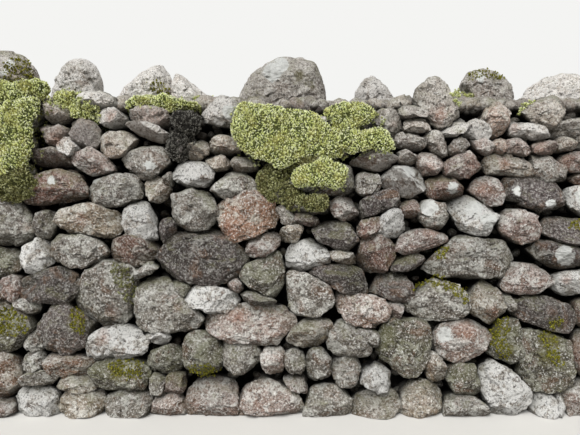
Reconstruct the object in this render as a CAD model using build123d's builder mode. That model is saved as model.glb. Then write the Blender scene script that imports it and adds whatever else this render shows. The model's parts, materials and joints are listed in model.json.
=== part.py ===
"""A length of dry stone wall: rounded field boulders laid without mortar in two leaning faces.

Each face stone reaches from the hearting out to the face, so every stone is carried by the middle of
the wall. Big boulders stand on edge along the top as the cope, and moss grows over some of them.
Sizes are in millimetres. The wall runs along X, its front looks towards -Y, and z = 0 is the ground.
"""

import os
from math import cos, radians, sin, tan

from build123d import *

# The outlines of the stones are drawn in squares, x to the right and y down from the sky. One square
# is this long on a face, and a little longer on the cope, which stands further back.
face_square = 4.0
cope_square = face_square * 1.1
middle_line = 290
ground_line = 415
cope_line = 108

# Driving dimensions of the wall
base_width = 700.0
batter = 7.0
skin_depth = 140.0
crown_height = 38.0
bed_gap = 6.0

# The two faces are as long and as high as the stones drawn for them
shoulder_height = 310 * face_square
hearting_length = 640 * face_square

# Share of a stone's outline that is left at its tail and at its crown
tail_share = 0.82
crown_share = 0.78

# Boulders of the cope stand on edge, clear of the stones of both faces
cope_near = -44.0
cope_far = 150.0

# Moss: how far cushions stand off the stones, their rounding, and how far a filled joint bulges
moss_depth = 46.0
moss_round = 18.0
moss_fill = 10.0

# Ends of the wall: reach of the end stones, where their girth lies, and the beds of their layers
end_depth = 220.0
end_girth = 130.0
end_beds = [shoulder_height * share for share in (0, 0.15, 0.27, 0.42, 0.53, 0.66, 0.78, 0.89)]
end_joint_offsets = [30.0, -45.0, 25.0, -20.0]
corner_nip = 34.0

# Leaning planes of the two faces, with local Y up the slope and local Z out of the wall
lean = radians(batter)
front_face = Plane(
    origin=(0, -base_width / 2, 0), x_dir=(1, 0, 0), z_dir=(0, -cos(lean), sin(lean))
)
back_face = Plane(
    origin=(0, base_width / 2, 0), x_dir=(-1, 0, 0), z_dir=(0, cos(lean), sin(lean))
)
ground = Plane.XY
shoulder = Plane.XY.offset(shoulder_height)

# Outlines of the face stones, from the lowest course to the shoulder, in squares
footings_outlines = [
    [(-28, 404), (6, 401), (12, 406), (14, 424), (-28, 424)],
    [(16, 400), (24, 391), (36, 387), (47, 389), (56, 397), (57, 424), (17, 424)],
    [(60, 402), (66, 394), (82, 393), (98, 392), (104, 400), (104, 424), (60, 424)],
    [(107, 400), (113, 391), (130, 391), (146, 392), (151, 400), (150, 424), (107, 424)],
    [(153, 402), (158, 394), (172, 395), (183, 399), (184, 424), (153, 424)],
    [(187, 404), (189, 391), (198, 382), (214, 379), (230, 382), (237, 391), (235, 424), (189, 424)],
    [(239, 402), (245, 389), (262, 381), (280, 385), (296, 393), (302, 404), (300, 424), (240, 424)],
    [(305, 402), (310, 391), (326, 387), (342, 389), (350, 398), (350, 424), (306, 424)],
    [(354, 402), (360, 394), (376, 393), (392, 392), (398, 399), (398, 424), (354, 424)],
    [(402, 396), (408, 384), (424, 382), (438, 386), (442, 398), (442, 424), (402, 424)],
    [(445, 406), (451, 397), (466, 397), (480, 402), (488, 411), (488, 424), (446, 424)],
    [(480, 378), (484, 366), (494, 362), (508, 372), (522, 386), (532, 395), (530, 424), (498, 424),
     (484, 398)],
    [(535, 396), (546, 394), (554, 400), (555, 424), (533, 424)],
    [(557, 402), (558, 394), (562, 396), (563, 408), (560, 424), (557, 424)],
    [(566, 412), (565, 392), (570, 384), (584, 381), (606, 382), (608, 398), (608, 424), (566, 424)],
]
course_1_outlines = [
    [(-28, 355), (0, 354), (14, 358), (21, 366), (21, 380), (18, 390), (8, 396), (-28, 400)],
    [(26, 366), (29, 356), (34, 352), (40, 354), (43, 361), (40, 367), (32, 370)],
    [(24, 385), (24, 376), (30, 372), (42, 371), (52, 369), (57, 375), (50, 383), (38, 385)],
    [(46, 357), (56, 360), (70, 361), (84, 357), (90, 357), (92, 365), (88, 374), (76, 378), (62, 375),
     (51, 367)],
    [(60, 380), (66, 378), (76, 380), (90, 379), (94, 386), (86, 391), (70, 391), (62, 388)],
    [(92, 373), (94, 365), (106, 363), (122, 359), (136, 359), (147, 363), (148, 376), (142, 387),
     (120, 389), (100, 385)],
    [(150, 377), (158, 375), (164, 381), (163, 390), (153, 391)],
    [(167, 379), (173, 375), (182, 377), (184, 387), (178, 393), (168, 391)],
    [(150, 360), (153, 353), (161, 349), (172, 347), (180, 353), (181, 364), (175, 371), (163, 373),
     (154, 368)],
    [(184, 353), (186, 341), (192, 335), (204, 333), (216, 339), (221, 350), (220, 368), (204, 373),
     (190, 368)],
    [(224, 344), (240, 343), (254, 345), (259, 354), (254, 366), (240, 371), (226, 368)],
    [(262, 354), (268, 349), (278, 349), (284, 357), (282, 369), (270, 372), (262, 364)],
    [(287, 354), (296, 351), (303, 356), (304, 368), (296, 374), (288, 368)],
    [(286, 380), (292, 377), (303, 377), (306, 386), (300, 391), (288, 386)],
    [(307, 356), (314, 350), (324, 350), (330, 358), (331, 370), (324, 380), (311, 379), (307, 368)],
    [(335, 361), (348, 359), (358, 361), (359, 371), (352, 382), (338, 385), (334, 374)],
    [(363, 372), (370, 366), (380, 368), (390, 376), (389, 388), (376, 390), (364, 386)],
    [(430, 352), (438, 357), (444, 365), (445, 376), (438, 382), (430, 380), (428, 366)],
    [(448, 367), (460, 365), (472, 366), (477, 377), (479, 392), (466, 394), (452, 393), (448, 380)],
]
course_2_outlines = [
    [(-28, 305), (0, 303), (9, 308), (20, 315), (30, 321), (33, 328), (24, 338), (12, 347), (-28, 350)],
    [(18, 309), (21, 302), (26, 298), (33, 301), (38, 306), (35, 313), (29, 315), (23, 313)],
    [(27, 341), (31, 334), (37, 332), (41, 341), (40, 348), (35, 350)],
    [(41, 322), (44, 310), (52, 305), (66, 304), (76, 312), (88, 320), (93, 325), (89, 338), (82, 350),
     (66, 355), (50, 348), (43, 336)],
    [(88, 346), (92, 337), (97, 329), (112, 331), (126, 327), (140, 331), (147, 340), (146, 350),
     (128, 356), (100, 361), (92, 355)],
    [(147, 337), (150, 332), (162, 332), (168, 338), (165, 343), (158, 346), (152, 345)],
    [(139, 322), (138, 300), (141, 287), (150, 279), (159, 277), (167, 283), (186, 304), (202, 322),
     (196, 329), (160, 330), (146, 327)],
    [(207, 323), (207, 315), (222, 315), (238, 310), (250, 305), (264, 305), (282, 308), (292, 316),
     (295, 326), (288, 332), (284, 341), (270, 345), (250, 341), (226, 337), (212, 333)],
    [(289, 338), (294, 330), (302, 322), (314, 320), (326, 322), (331, 329), (326, 340), (316, 346),
     (302, 347)],
    [(329, 346), (332, 334), (338, 325), (345, 322), (353, 328), (362, 339), (370, 346), (367, 353),
     (358, 357), (340, 356)],
    [(355, 329), (366, 331), (376, 334), (379, 338), (374, 346), (368, 343), (361, 336)],
    [(381, 340), (385, 330), (393, 323), (409, 321), (426, 325), (428, 342), (426, 358), (418, 370),
     (404, 376), (392, 371), (378, 356)],
    [(433, 345), (435, 336), (443, 326), (452, 323), (464, 321), (480, 326), (489, 333), (490, 340),
     (478, 352), (470, 361), (454, 361), (441, 355)],
    [(491, 352), (493, 342), (497, 328), (503, 321), (512, 320), (519, 326), (520, 342), (519, 354),
     (515, 363), (504, 361)],
    [(523, 332), (536, 331), (550, 334), (562, 339), (568, 350), (569, 366), (564, 382), (553, 391),
     (538, 388), (526, 380), (521, 368)],
    [(573, 352), (576, 338), (582, 332), (606, 331), (608, 350), (606, 376), (584, 377), (575, 368)],
]
course_3_outlines = [
    [(-28, 280), (-3, 281), (-1, 290), (2, 298), (-10, 301), (-28, 300)],
    [(1, 290), (8, 281), (15, 277), (19, 285), (22, 295), (19, 301), (9, 300), (3, 296)],
    [(22, 286), (25, 278), (36, 272), (50, 269), (62, 269), (72, 274), (80, 281), (76, 290), (69, 299),
     (54, 302), (36, 299), (25, 294)],
    [(73, 300), (77, 290), (85, 280), (93, 270), (102, 264), (111, 261), (123, 265), (133, 272),
     (136, 284), (135, 304), (130, 315), (120, 324), (110, 327), (96, 320), (78, 309)],
    [(134, 275), (140, 268), (151, 264), (157, 267), (150, 272), (139, 277)],
    [(174, 282), (181, 284), (188, 286), (184, 293), (180, 294), (175, 287)],
    [(187, 300), (191, 291), (195, 287), (208, 287), (222, 289), (233, 293), (237, 300), (235, 307),
     (220, 311), (206, 310), (193, 306)],
    [(229, 283), (237, 280), (241, 286), (241, 291), (235, 291), (230, 288)],
    [(243, 296), (252, 294), (264, 297), (274, 300), (273, 304), (262, 302), (248, 302)],
    [(288, 288), (289, 277), (294, 273), (306, 275), (318, 281), (330, 287), (332, 294), (329, 303),
     (321, 310), (308, 315), (298, 312), (290, 302)],
    [(338, 298), (342, 291), (352, 295), (366, 299), (380, 301), (387, 304), (388, 313), (386, 320),
     (380, 326), (368, 327), (354, 324), (346, 317), (340, 309)],
    [(390, 303), (401, 303), (402, 308), (396, 317), (391, 312)],
    [(405, 305), (411, 298), (421, 291), (432, 283), (446, 281), (457, 289), (466, 298), (468, 307),
     (466, 313), (448, 318), (428, 319), (410, 315)],
    [(470, 298), (476, 290), (484, 283), (492, 290), (500, 300), (506, 309), (503, 315), (498, 320),
     (490, 323), (478, 317), (471, 310)],
    [(503, 294), (509, 295), (512, 303), (510, 309), (506, 304)],
    [(512, 310), (515, 300), (523, 298), (538, 296), (552, 301), (566, 306), (573, 313), (575, 321),
     (572, 328), (562, 330), (546, 327), (530, 321), (517, 316)],
    [(577, 304), (588, 299), (606, 300), (608, 327), (588, 328), (578, 322)],
]
course_4_outlines = [
    [(-28, 250), (0, 249), (13, 252), (20, 258), (19, 266), (10, 274), (0, 277), (-28, 276)],
    [(23, 252), (27, 243), (36, 239), (46, 243), (49, 251), (51, 260), (40, 267), (28, 274), (24, 268)],
    [(52, 253), (58, 242), (64, 236), (78, 238), (92, 241), (101, 246), (106, 254), (102, 261),
     (88, 266), (72, 265), (57, 260)],
    [(111, 248), (115, 240), (123, 236), (134, 240), (146, 243), (156, 244), (155, 252), (149, 261),
     (140, 267), (128, 265), (115, 259)],
    [(160, 262), (162, 252), (170, 241), (179, 233), (196, 230), (212, 230), (222, 237), (232, 246),
     (242, 251), (246, 261), (242, 271), (232, 278), (216, 283), (196, 283), (176, 278), (165, 270)],
    [(246, 247), (250, 241), (262, 238), (274, 234), (279, 239), (278, 246), (269, 253), (258, 257),
     (250, 258)],
    [(242, 274), (247, 266), (259, 262), (268, 257), (275, 253), (281, 255), (283, 268), (283, 284),
     (281, 295), (271, 295), (258, 291), (249, 289), (243, 282)],
    [(288, 256), (291, 247), (300, 242), (311, 241), (321, 246), (328, 254), (329, 260), (321, 266),
     (308, 269), (295, 267), (289, 262)],
    [(331, 253), (338, 252), (349, 253), (355, 259), (353, 264), (345, 263), (336, 259)],
    [(311, 273), (322, 267), (334, 266), (348, 269), (360, 272), (364, 279), (365, 290), (363, 296),
     (351, 292), (337, 286), (322, 280)],
    [(357, 260), (358, 249), (361, 241), (368, 235), (376, 234), (386, 239), (392, 247), (393, 257),
     (389, 266), (379, 270), (367, 271), (360, 267)],
    [(392, 266), (395, 259), (401, 254), (412, 253), (420, 256), (422, 261), (417, 267), (406, 271),
     (397, 271)],
    [(372, 292), (377, 284), (382, 275), (387, 273), (400, 275), (408, 281), (413, 287), (413, 295),
     (408, 299), (396, 299), (382, 297)],
    [(425, 268), (429, 262), (436, 258), (444, 256), (448, 248), (455, 241), (464, 238), (474, 238),
     (486, 242), (500, 244), (513, 251), (509, 262), (507, 276), (498, 279), (480, 279), (452, 276)],
    [(502, 289), (509, 281), (513, 268), (522, 265), (538, 268), (546, 272), (550, 280), (550, 287),
     (544, 290), (532, 292), (516, 292)],
    [(531, 250), (535, 243), (546, 241), (562, 242), (575, 247), (583, 255), (580, 263), (571, 267),
     (556, 266), (543, 261)],
    [(553, 281), (559, 276), (572, 273), (590, 272), (606, 275), (604, 284), (586, 289), (572, 293),
     (564, 293), (556, 288)],
    [(587, 250), (594, 247), (606, 248), (607, 268), (590, 268), (585, 262)],
]
course_5_outlines = [
    [(-28, 202), (0, 199), (14, 202), (23, 208), (30, 219), (32, 229), (29, 238), (14, 243),
     (-28, 244)],
    [(34, 225), (38, 216), (47, 212), (55, 214), (55, 222), (51, 231), (47, 238), (42, 238), (37, 232)],
    [(57, 227), (57, 220), (63, 209), (71, 204), (84, 204), (94, 208), (108, 211), (117, 214),
     (121, 222), (117, 232), (109, 236), (90, 234), (64, 231)],
    [(124, 213), (128, 206), (136, 203), (147, 204), (153, 215), (156, 231), (154, 239), (146, 239),
     (135, 236), (127, 228)],
    [(163, 224), (169, 219), (175, 229), (172, 236), (166, 243), (161, 235)],
    [(173, 200), (176, 191), (190, 191), (204, 192), (212, 199), (215, 208), (216, 219), (211, 225),
     (196, 227), (182, 228), (176, 223), (172, 211)],
    [(218, 207), (221, 201), (236, 198), (250, 195), (262, 192), (267, 195), (272, 204), (277, 220),
     (268, 227), (254, 233), (232, 243), (226, 232), (220, 216)],
    [(278, 211), (284, 208), (292, 213), (293, 221), (287, 224), (281, 218)],
    [(281, 232), (287, 227), (296, 224), (301, 229), (300, 238), (293, 241), (284, 240)],
    [(296, 215), (306, 215), (314, 219), (318, 225), (306, 223), (296, 221)],
    [(315, 232), (319, 227), (328, 223), (341, 224), (351, 230), (357, 239), (354, 247), (348, 249),
     (337, 247), (321, 241)],
    [(332, 203), (337, 199), (350, 199), (355, 204), (356, 214), (353, 220), (345, 220), (334, 214)],
    [(360, 222), (368, 221), (378, 219), (379, 222), (374, 230), (365, 237), (360, 233)],
    [(377, 229), (381, 221), (387, 215), (394, 211), (398, 213), (402, 222), (403, 230), (397, 236),
     (388, 235), (380, 233)],
    [(397, 248), (400, 239), (408, 233), (421, 231), (436, 232), (446, 237), (444, 242), (434, 246),
     (420, 250), (404, 252)],
    [(420, 209), (425, 202), (435, 201), (443, 207), (447, 216), (445, 224), (437, 228), (428, 225),
     (421, 218)],
    [(448, 204), (457, 200), (470, 198), (479, 201), (486, 208), (494, 215), (498, 222), (497, 229),
     (484, 233), (470, 232), (462, 228), (457, 217)],
    [(502, 228), (502, 215), (510, 211), (523, 212), (532, 217), (537, 227), (536, 236), (529, 241),
     (518, 242), (508, 237)],
    [(542, 232), (543, 223), (550, 218), (562, 218), (580, 222), (606, 227), (606, 240), (594, 244),
     (574, 243), (554, 239)],
    [(287, 204), (294, 196), (312, 196), (326, 202), (328, 211), (318, 213), (300, 212)],
]
course_6_outlines = [
    [(19, 203), (21, 198), (33, 187), (43, 176), (55, 170), (72, 170), (81, 178), (87, 188), (86, 196),
     (60, 201)],
    [(89, 194), (92, 184), (100, 178), (115, 176), (131, 177), (138, 182), (141, 191), (137, 199),
     (126, 202), (112, 204), (102, 207), (93, 203)],
    [(146, 189), (150, 181), (158, 179), (165, 182), (169, 190), (166, 198), (158, 201), (150, 199)],
    [(173, 171), (177, 165), (187, 164), (205, 164), (210, 171), (212, 179), (208, 184), (190, 185),
     (177, 184), (173, 179)],
    [(214, 190), (215, 183), (222, 178), (234, 173), (244, 175), (251, 182), (256, 189), (246, 192),
     (232, 195), (221, 198), (216, 197)],
    [(290, 177), (298, 165), (318, 162), (338, 163), (349, 167), (353, 176), (351, 188), (343, 195),
     (328, 193), (300, 187)],
    [(358, 184), (359, 177), (365, 173), (374, 175), (380, 181), (377, 188), (370, 194), (363, 194),
     (359, 190)],
    [(361, 212), (363, 203), (371, 196), (381, 191), (391, 190), (398, 197), (398, 204), (391, 208),
     (379, 213), (368, 217), (362, 217)],
    [(383, 180), (386, 173), (395, 169), (406, 167), (413, 168), (420, 177), (424, 185), (423, 192),
     (417, 196), (405, 192), (387, 187)],
    [(402, 207), (407, 201), (415, 204), (418, 210), (414, 216), (406, 215), (402, 212)],
    [(427, 190), (429, 182), (436, 177), (444, 176), (453, 179), (460, 186), (463, 192), (458, 196),
     (447, 198), (434, 197)],
    [(472, 190), (476, 182), (484, 177), (493, 180), (499, 186), (500, 196), (496, 204), (489, 205),
     (480, 200)],
    [(503, 187), (507, 180), (516, 178), (530, 179), (546, 183), (557, 187), (563, 193), (561, 203),
     (554, 208), (540, 209), (522, 205), (509, 199)],
    [(568, 196), (571, 189), (584, 187), (606, 188), (608, 206), (598, 214), (582, 214), (573, 206)],
    [(-28, 165), (6, 166), (26, 164), (33, 171), (29, 184), (14, 189), (-28, 190)],
    [(262, 173), (283, 174), (289, 185), (290, 200), (282, 204), (272, 194), (263, 184)],
]
course_7_outlines = [
    [(33, 160), (36, 151), (48, 149), (58, 151), (63, 157), (69, 161), (67, 166), (52, 165), (38, 163)],
    [(61, 146), (67, 139), (72, 138), (75, 144), (79, 150), (70, 154), (65, 155)],
    [(72, 158), (81, 152), (90, 150), (97, 156), (104, 161), (112, 164), (113, 170), (107, 174),
     (90, 174), (83, 169)],
    [(99, 139), (105, 132), (120, 132), (130, 135), (135, 140), (132, 147), (128, 152), (116, 156),
     (104, 156), (99, 149)],
    [(123, 160), (129, 155), (140, 149), (150, 147), (159, 149), (167, 157), (169, 166), (160, 171),
     (150, 177), (142, 179), (134, 172)],
    [(162, 177), (168, 174), (171, 179), (170, 186), (166, 180)],
    [(186, 155), (190, 147), (198, 142), (205, 143), (207, 150), (205, 156), (198, 159), (189, 159)],
    [(207, 159), (211, 157), (222, 158), (228, 162), (226, 167), (218, 169), (212, 166)],
    [(232, 166), (235, 161), (240, 159), (247, 161), (254, 163), (256, 168), (248, 170), (236, 170)],
    [(352, 161), (360, 157), (370, 152), (382, 153), (394, 156), (397, 158), (391, 163), (385, 168),
     (376, 169), (360, 165)],
    [(399, 155), (404, 151), (411, 153), (415, 158), (411, 163), (404, 163), (399, 160)],
    [(419, 161), (423, 155), (432, 154), (439, 157), (442, 164), (439, 170), (430, 174), (423, 173),
     (420, 167)],
    [(445, 168), (448, 161), (458, 156), (468, 154), (475, 157), (479, 164), (479, 171), (471, 176),
     (458, 177), (448, 174)],
    [(484, 168), (489, 159), (497, 155), (510, 156), (523, 160), (530, 166), (532, 172), (527, 175),
     (512, 173), (487, 172)],
    [(533, 158), (542, 156), (552, 161), (561, 169), (569, 177), (566, 180), (550, 180), (537, 179)],
    [(562, 159), (569, 154), (582, 153), (606, 155), (607, 166), (592, 170), (572, 170), (564, 166)],
    [(574, 178), (582, 174), (606, 174), (606, 184), (588, 184), (577, 182)],
    [(-28, 141), (14, 139), (31, 136), (35, 146), (28, 158), (4, 161), (-28, 160)],
    [(243, 147), (262, 146), (268, 152), (265, 158), (250, 156)],
    [(273, 149), (297, 150), (299, 160), (288, 170), (272, 170)],
    [(303, 151), (318, 150), (340, 151), (344, 157), (335, 159), (305, 159)],
    [(356, 137), (372, 133), (386, 139), (390, 147), (372, 148), (357, 150)],
    [(173, 142), (187, 140), (184, 152), (180, 157), (173, 154)],
]
shoulder_outlines = [
    [(-28, 96), (0, 95), (14, 94), (20, 97), (20, 104), (8, 108), (-28, 110)],
    [(47, 111), (52, 105), (60, 107), (66, 111), (68, 117), (65, 123), (53, 123), (47, 117)],
    [(40, 129), (45, 126), (55, 127), (62, 129), (69, 131), (68, 135), (62, 139), (57, 144), (50, 145),
     (43, 139)],
    [(73, 122), (80, 118), (84, 118), (92, 123), (98, 130), (98, 138), (95, 145), (86, 148), (77, 144),
     (74, 134)],
    [(78, 98), (82, 93), (95, 92), (108, 94), (116, 100), (114, 105), (103, 106), (90, 105)],
    [(98, 114), (105, 110), (115, 109), (121, 113), (127, 121), (123, 126), (114, 127), (102, 122)],
    [(130, 112), (136, 109), (150, 107), (159, 109), (165, 114), (169, 122), (165, 126), (150, 123),
     (133, 120)],
    [(128, 125), (135, 123), (148, 125), (160, 129), (168, 132), (168, 138), (161, 141), (148, 138),
     (136, 131)],
    [(210, 146), (215, 140), (221, 137), (230, 140), (238, 145), (239, 150), (231, 153), (218, 153),
     (212, 151)],
    [(318, 120), (322, 117), (330, 122), (333, 128), (326, 128)],
    [(354, 118), (360, 119), (367, 125), (365, 129), (360, 132), (356, 128)],
    [(376, 116), (380, 110), (388, 110), (396, 117), (403, 126), (400, 133), (394, 136), (384, 131),
     (376, 124)],
    [(395, 141), (399, 136), (407, 134), (416, 135), (422, 140), (424, 145), (418, 149), (407, 149),
     (399, 146)],
    [(399, 116), (401, 111), (407, 107), (413, 106), (422, 110), (426, 113), (420, 117), (409, 117)],
    [(405, 127), (408, 121), (414, 120), (421, 120), (426, 124), (428, 130), (418, 131), (407, 131)],
    [(425, 139), (430, 133), (437, 135), (444, 141), (449, 147), (446, 152), (440, 156), (433, 151)],
    [(441, 130), (450, 125), (460, 120), (465, 122), (462, 128), (457, 134), (446, 135)],
    [(465, 133), (468, 125), (476, 122), (483, 126), (488, 132), (486, 137), (478, 139), (469, 137)],
    [(450, 151), (454, 143), (459, 139), (464, 142), (468, 147), (463, 152), (453, 154)],
    [(473, 142), (484, 141), (490, 145), (492, 150), (491, 155), (482, 151), (475, 147)],
    [(494, 144), (500, 140), (506, 143), (504, 149), (499, 152), (495, 149)],
    [(506, 150), (510, 141), (520, 139), (529, 142), (530, 150), (526, 154), (514, 152)],
    [(511, 127), (515, 123), (526, 123), (540, 128), (547, 132), (547, 136), (538, 138), (522, 138),
     (513, 134)],
    [(534, 145), (542, 141), (551, 143), (556, 148), (552, 152), (541, 153), (535, 151)],
    [(552, 133), (559, 125), (573, 121), (606, 118), (607, 130), (584, 131), (566, 135), (555, 137)],
    [(557, 143), (563, 138), (569, 136), (573, 141), (573, 147), (566, 150), (559, 149)],
    [(576, 140), (584, 135), (606, 134), (607, 149), (588, 150), (578, 147)],
    [(-28, 113), (6, 113), (15, 122), (12, 131), (-28, 135)],
    [(20, 110), (36, 106), (42, 112), (36, 123), (32, 130), (20, 127)],
    [(240, 117), (250, 113), (264, 116), (268, 128), (262, 142), (246, 143), (239, 132)],
    [(271, 117), (300, 117), (304, 133), (296, 146), (272, 143)],
    [(308, 124), (314, 126), (333, 132), (341, 142), (335, 147), (311, 147)],
    [(337, 113), (350, 112), (352, 124), (350, 135), (343, 139), (336, 127)],
]

# Stones that stand at the front edge of the cope
bridge_stone_outline = [
    (203, 116), (210, 108), (216, 101), (222, 98), (229, 100), (235, 106), (240, 112), (237, 120),
    (231, 125), (216, 122), (206, 121),
]
grey_rose_outline = [
    (417, 102), (419, 90), (430, 80), (440, 80), (452, 95), (458, 115), (449, 122), (438, 127),
    (430, 114),
]
rusty_stem_outline = [
    (484, 120), (488, 109), (495, 104), (503, 105), (508, 114), (507, 124), (501, 132), (494, 136),
    (488, 130),
]
beige_front_outline = [
    (525, 112), (533, 106), (546, 102), (559, 104), (564, 111), (562, 118), (555, 124), (549, 127),
    (536, 122),
]

# Boulders of the cope, each from its seat over the top and down to its seat again
left_outer_outline = [(-48, 108), (-47, 92), (-42, 80), (-35, 78), (-29, 86), (-27, 108)]
mossy_end_outline = [
    (-24, 108), (-26, 72), (-14, 57), (0, 52), (12, 54), (23, 60), (32, 71), (36, 86), (35, 108),
]
pale_egg_outline = [
    (50, 108), (52, 93), (58, 78), (67, 65), (75, 61), (85, 63), (93, 69), (97, 80), (98, 108),
]
split_peak_outline = [
    (112, 108), (118, 97), (127, 86), (140, 76), (152, 69), (160, 68), (166, 75), (171, 90),
    (171, 108),
]
thin_fin_outline = [
    (173, 108), (174, 84), (177, 76), (184, 80), (194, 89), (203, 95), (210, 102), (212, 108),
]
great_boulder_outline = [
    (238, 108), (243, 93), (251, 78), (266, 66), (280, 60), (300, 60), (314, 64), (321, 79), (324, 94),
    (324, 108),
]
pale_nose_outline = [
    (356, 108), (359, 92), (366, 82), (373, 78), (380, 82), (386, 92), (396, 102), (398, 108),
]
mossy_block_outline = [(449, 108), (450, 98), (455, 94), (462, 96), (467, 108)]
capped_boulder_outline = [
    (477, 108), (471, 97), (465, 82), (471, 75), (483, 71), (495, 73), (508, 82), (514, 95),
    (513, 108),
]
long_grey_outline = [
    (523, 108), (526, 99), (534, 88), (547, 80), (562, 76), (577, 76), (590, 84), (599, 98),
    (601, 108),
]
right_outer_outline = [(605, 108), (606, 92), (612, 84), (620, 83), (626, 92), (628, 108)]

# Moss: cushions that lie on the crowns of the stones behind, and moss packed in between stones
left_bank_outline = [
    (-28, 114), (0, 111), (20, 107), (38, 102), (45, 106), (42, 118), (38, 130), (38, 144), (31, 156),
    (35, 170), (37, 180), (30, 190), (-28, 191),
]
centre_mound_outline = [
    (240, 112), (248, 106), (262, 110), (284, 114), (304, 115), (318, 120), (328, 131), (337, 143),
    (342, 155), (326, 157), (309, 159), (295, 165), (282, 167), (266, 162), (254, 156), (243, 148),
    (236, 138), (235, 124),
]
right_cushion_outline = [
    (322, 112), (328, 108), (348, 108), (364, 108), (372, 113), (372, 122), (356, 126), (350, 136),
    (343, 139), (333, 128),
]
right_lobe_outline = [
    (347, 146), (354, 138), (364, 131), (374, 129), (384, 134), (391, 143), (394, 151), (376, 150),
    (364, 152), (354, 156), (347, 156),
]
centre_lobe_outline = [
    (293, 176), (299, 167), (313, 161), (328, 160), (339, 165), (346, 173), (342, 182), (326, 188),
    (306, 187), (296, 183),
]
low_lobe_outline = [(297, 200), (304, 195), (318, 194), (327, 198), (331, 208), (326, 214), (312, 211)]
left_ridge_outline = [
    (52, 97), (61, 92), (73, 91), (75, 99), (88, 109), (95, 115), (98, 122), (92, 120), (84, 115),
    (74, 116), (69, 109), (61, 103),
]
middle_ridge_outline = [
    (124, 108), (129, 99), (141, 95), (160, 98), (180, 101), (199, 102), (200, 106), (190, 106),
    (178, 108), (171, 110), (160, 105), (150, 103), (136, 105), (128, 110),
]


def on_face(outline):
    """Corners of an outline in millimetres along a face and up its slope."""
    return [((x - middle_line) * face_square, (ground_line - y) * face_square) for x, y in outline]


def on_cope(outline):
    """Corners of a cope outline in millimetres along the wall and above the shoulder."""
    return [((x - middle_line) * cope_square, (cope_line - y) * cope_square) for x, y in outline]


def middle_of(points):
    """Mean of the corners of an outline."""
    return tuple(sum(values) / len(points) for values in zip(*points))


def drawn_in(points, share, centre):
    """The outline at a smaller share of its size, drawn in towards a centre."""
    return [tuple(c + (p - c) * share for p, c in zip(point, centre)) for point in points]


def face_stone(face, outline):
    """One face stone: its tail on the hearting, its girth at the face and a smaller crown in front."""
    girth = on_face(outline)
    centre = middle_of(girth)
    tail = drawn_in(girth[::2], tail_share, centre)
    crown = drawn_in(girth[1::2], crown_share, centre)
    corners = [(x, y, -skin_depth) for x, y in tail]
    corners += [(x, y, 0) for x, y in girth]
    corners += [(x, y, crown_height) for x, y in crown]
    with BuildPart(face) as stone:
        ConvexPolyhedron(corners)
    return stone.part


def face_stones(face, outlines, low=None, high=None):
    """Stones of one course, cut off level below one plane and above another where these are given."""
    with BuildPart() as course:
        add([face_stone(face, outline) for outline in outlines])
        if low is not None:
            split(bisect_by=low, keep=Keep.TOP)
        if high is not None:
            split(bisect_by=high, keep=Keep.BOTTOM)
    return course.part


def cope_boulder(outline, near=cope_near, far=cope_far):
    """A boulder on edge across the top of the wall, flat where it sits on the hearting."""
    girth = on_cope(outline)
    faces = drawn_in(girth, crown_share, (middle_of(girth)[0], 0))
    corners = [(x, near, z) for x, z in faces]
    corners += [(x, (near + far) / 2, z) for x, z in girth]
    corners += [(x, far, z) for x, z in faces]
    with BuildPart(shoulder) as boulder:
        ConvexPolyhedron(corners)
    return boulder.part


def moss_cushion(outline):
    """A cushion of moss that lies against the crowns of the stones behind it."""
    with BuildPart() as cushion:
        with BuildSketch(front_face.offset(crown_height)):
            Polygon(*on_face(outline), align=None)
        extrude(amount=moss_depth)
        outward = Axis(front_face.origin, front_face.z_dir)
        chamfer(cushion.faces().sort_by(outward)[-1].edges(), length=moss_round)
    return cushion.part


def moss_cushions(outlines):
    """Several cushions of moss that are kept together."""
    with BuildPart() as cushions:
        add([moss_cushion(outline) for outline in outlines])
    return cushions.part


def half_width(height):
    """Half the thickness of the wall at a height."""
    return base_width / 2 - height * tan(lean)


def end_outline(near_low, near_high, far_low, far_high, bottom, top):
    """Outline across the wall of an end stone, with its corners nipped off."""
    return [
        (near_low + corner_nip, bottom),
        (far_low - corner_nip, bottom),
        (far_low, bottom + corner_nip),
        (far_high, top - corner_nip),
        (far_high - corner_nip, top),
        (near_high + corner_nip, top),
        (near_high, top - corner_nip),
        (near_low, bottom + corner_nip),
    ]


def end_stone(side, outline):
    """One stone of an end, from the hearting out to a smaller crown."""
    start = hearting_length / 2
    crown = drawn_in(outline, crown_share, middle_of(outline))
    corners = [(side * start, y, z) for y, z in outline]
    corners += [(side * (start + end_girth), y, z) for y, z in outline]
    corners += [(side * (start + end_depth), y, z) for y, z in crown]
    with BuildPart() as stone:
        ConvexPolyhedron(corners)
    return stone.part


def end_stones(side, tie):
    """Every second layer at an end: one tie across the wall, or two stones side by side."""
    tops = [*(bed - bed_gap for bed in end_beds[1:]), shoulder_height]
    outlines = []
    for layer in range(0 if tie else 1, len(end_beds), 2):
        bottom, top = end_beds[layer], tops[layer]
        low, high = half_width(bottom), half_width(top)
        joint = end_joint_offsets[layer // 2]
        if tie:
            outlines.append(end_outline(-low, -high, low, high, bottom, top))
        else:
            outlines.append(end_outline(-low, -high, joint - bed_gap, joint - bed_gap, bottom, top))
            outlines.append(end_outline(joint, joint, low, high, bottom, top))
    with BuildPart() as stones:
        add([end_stone(side, outline) for outline in outlines])
    return stones.part


def keep(part, name):
    """Label a finished piece and write it to its own file."""
    part.label = name
    export_step(part, f"parts/{name}.step")


os.makedirs("parts", exist_ok=True)

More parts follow.
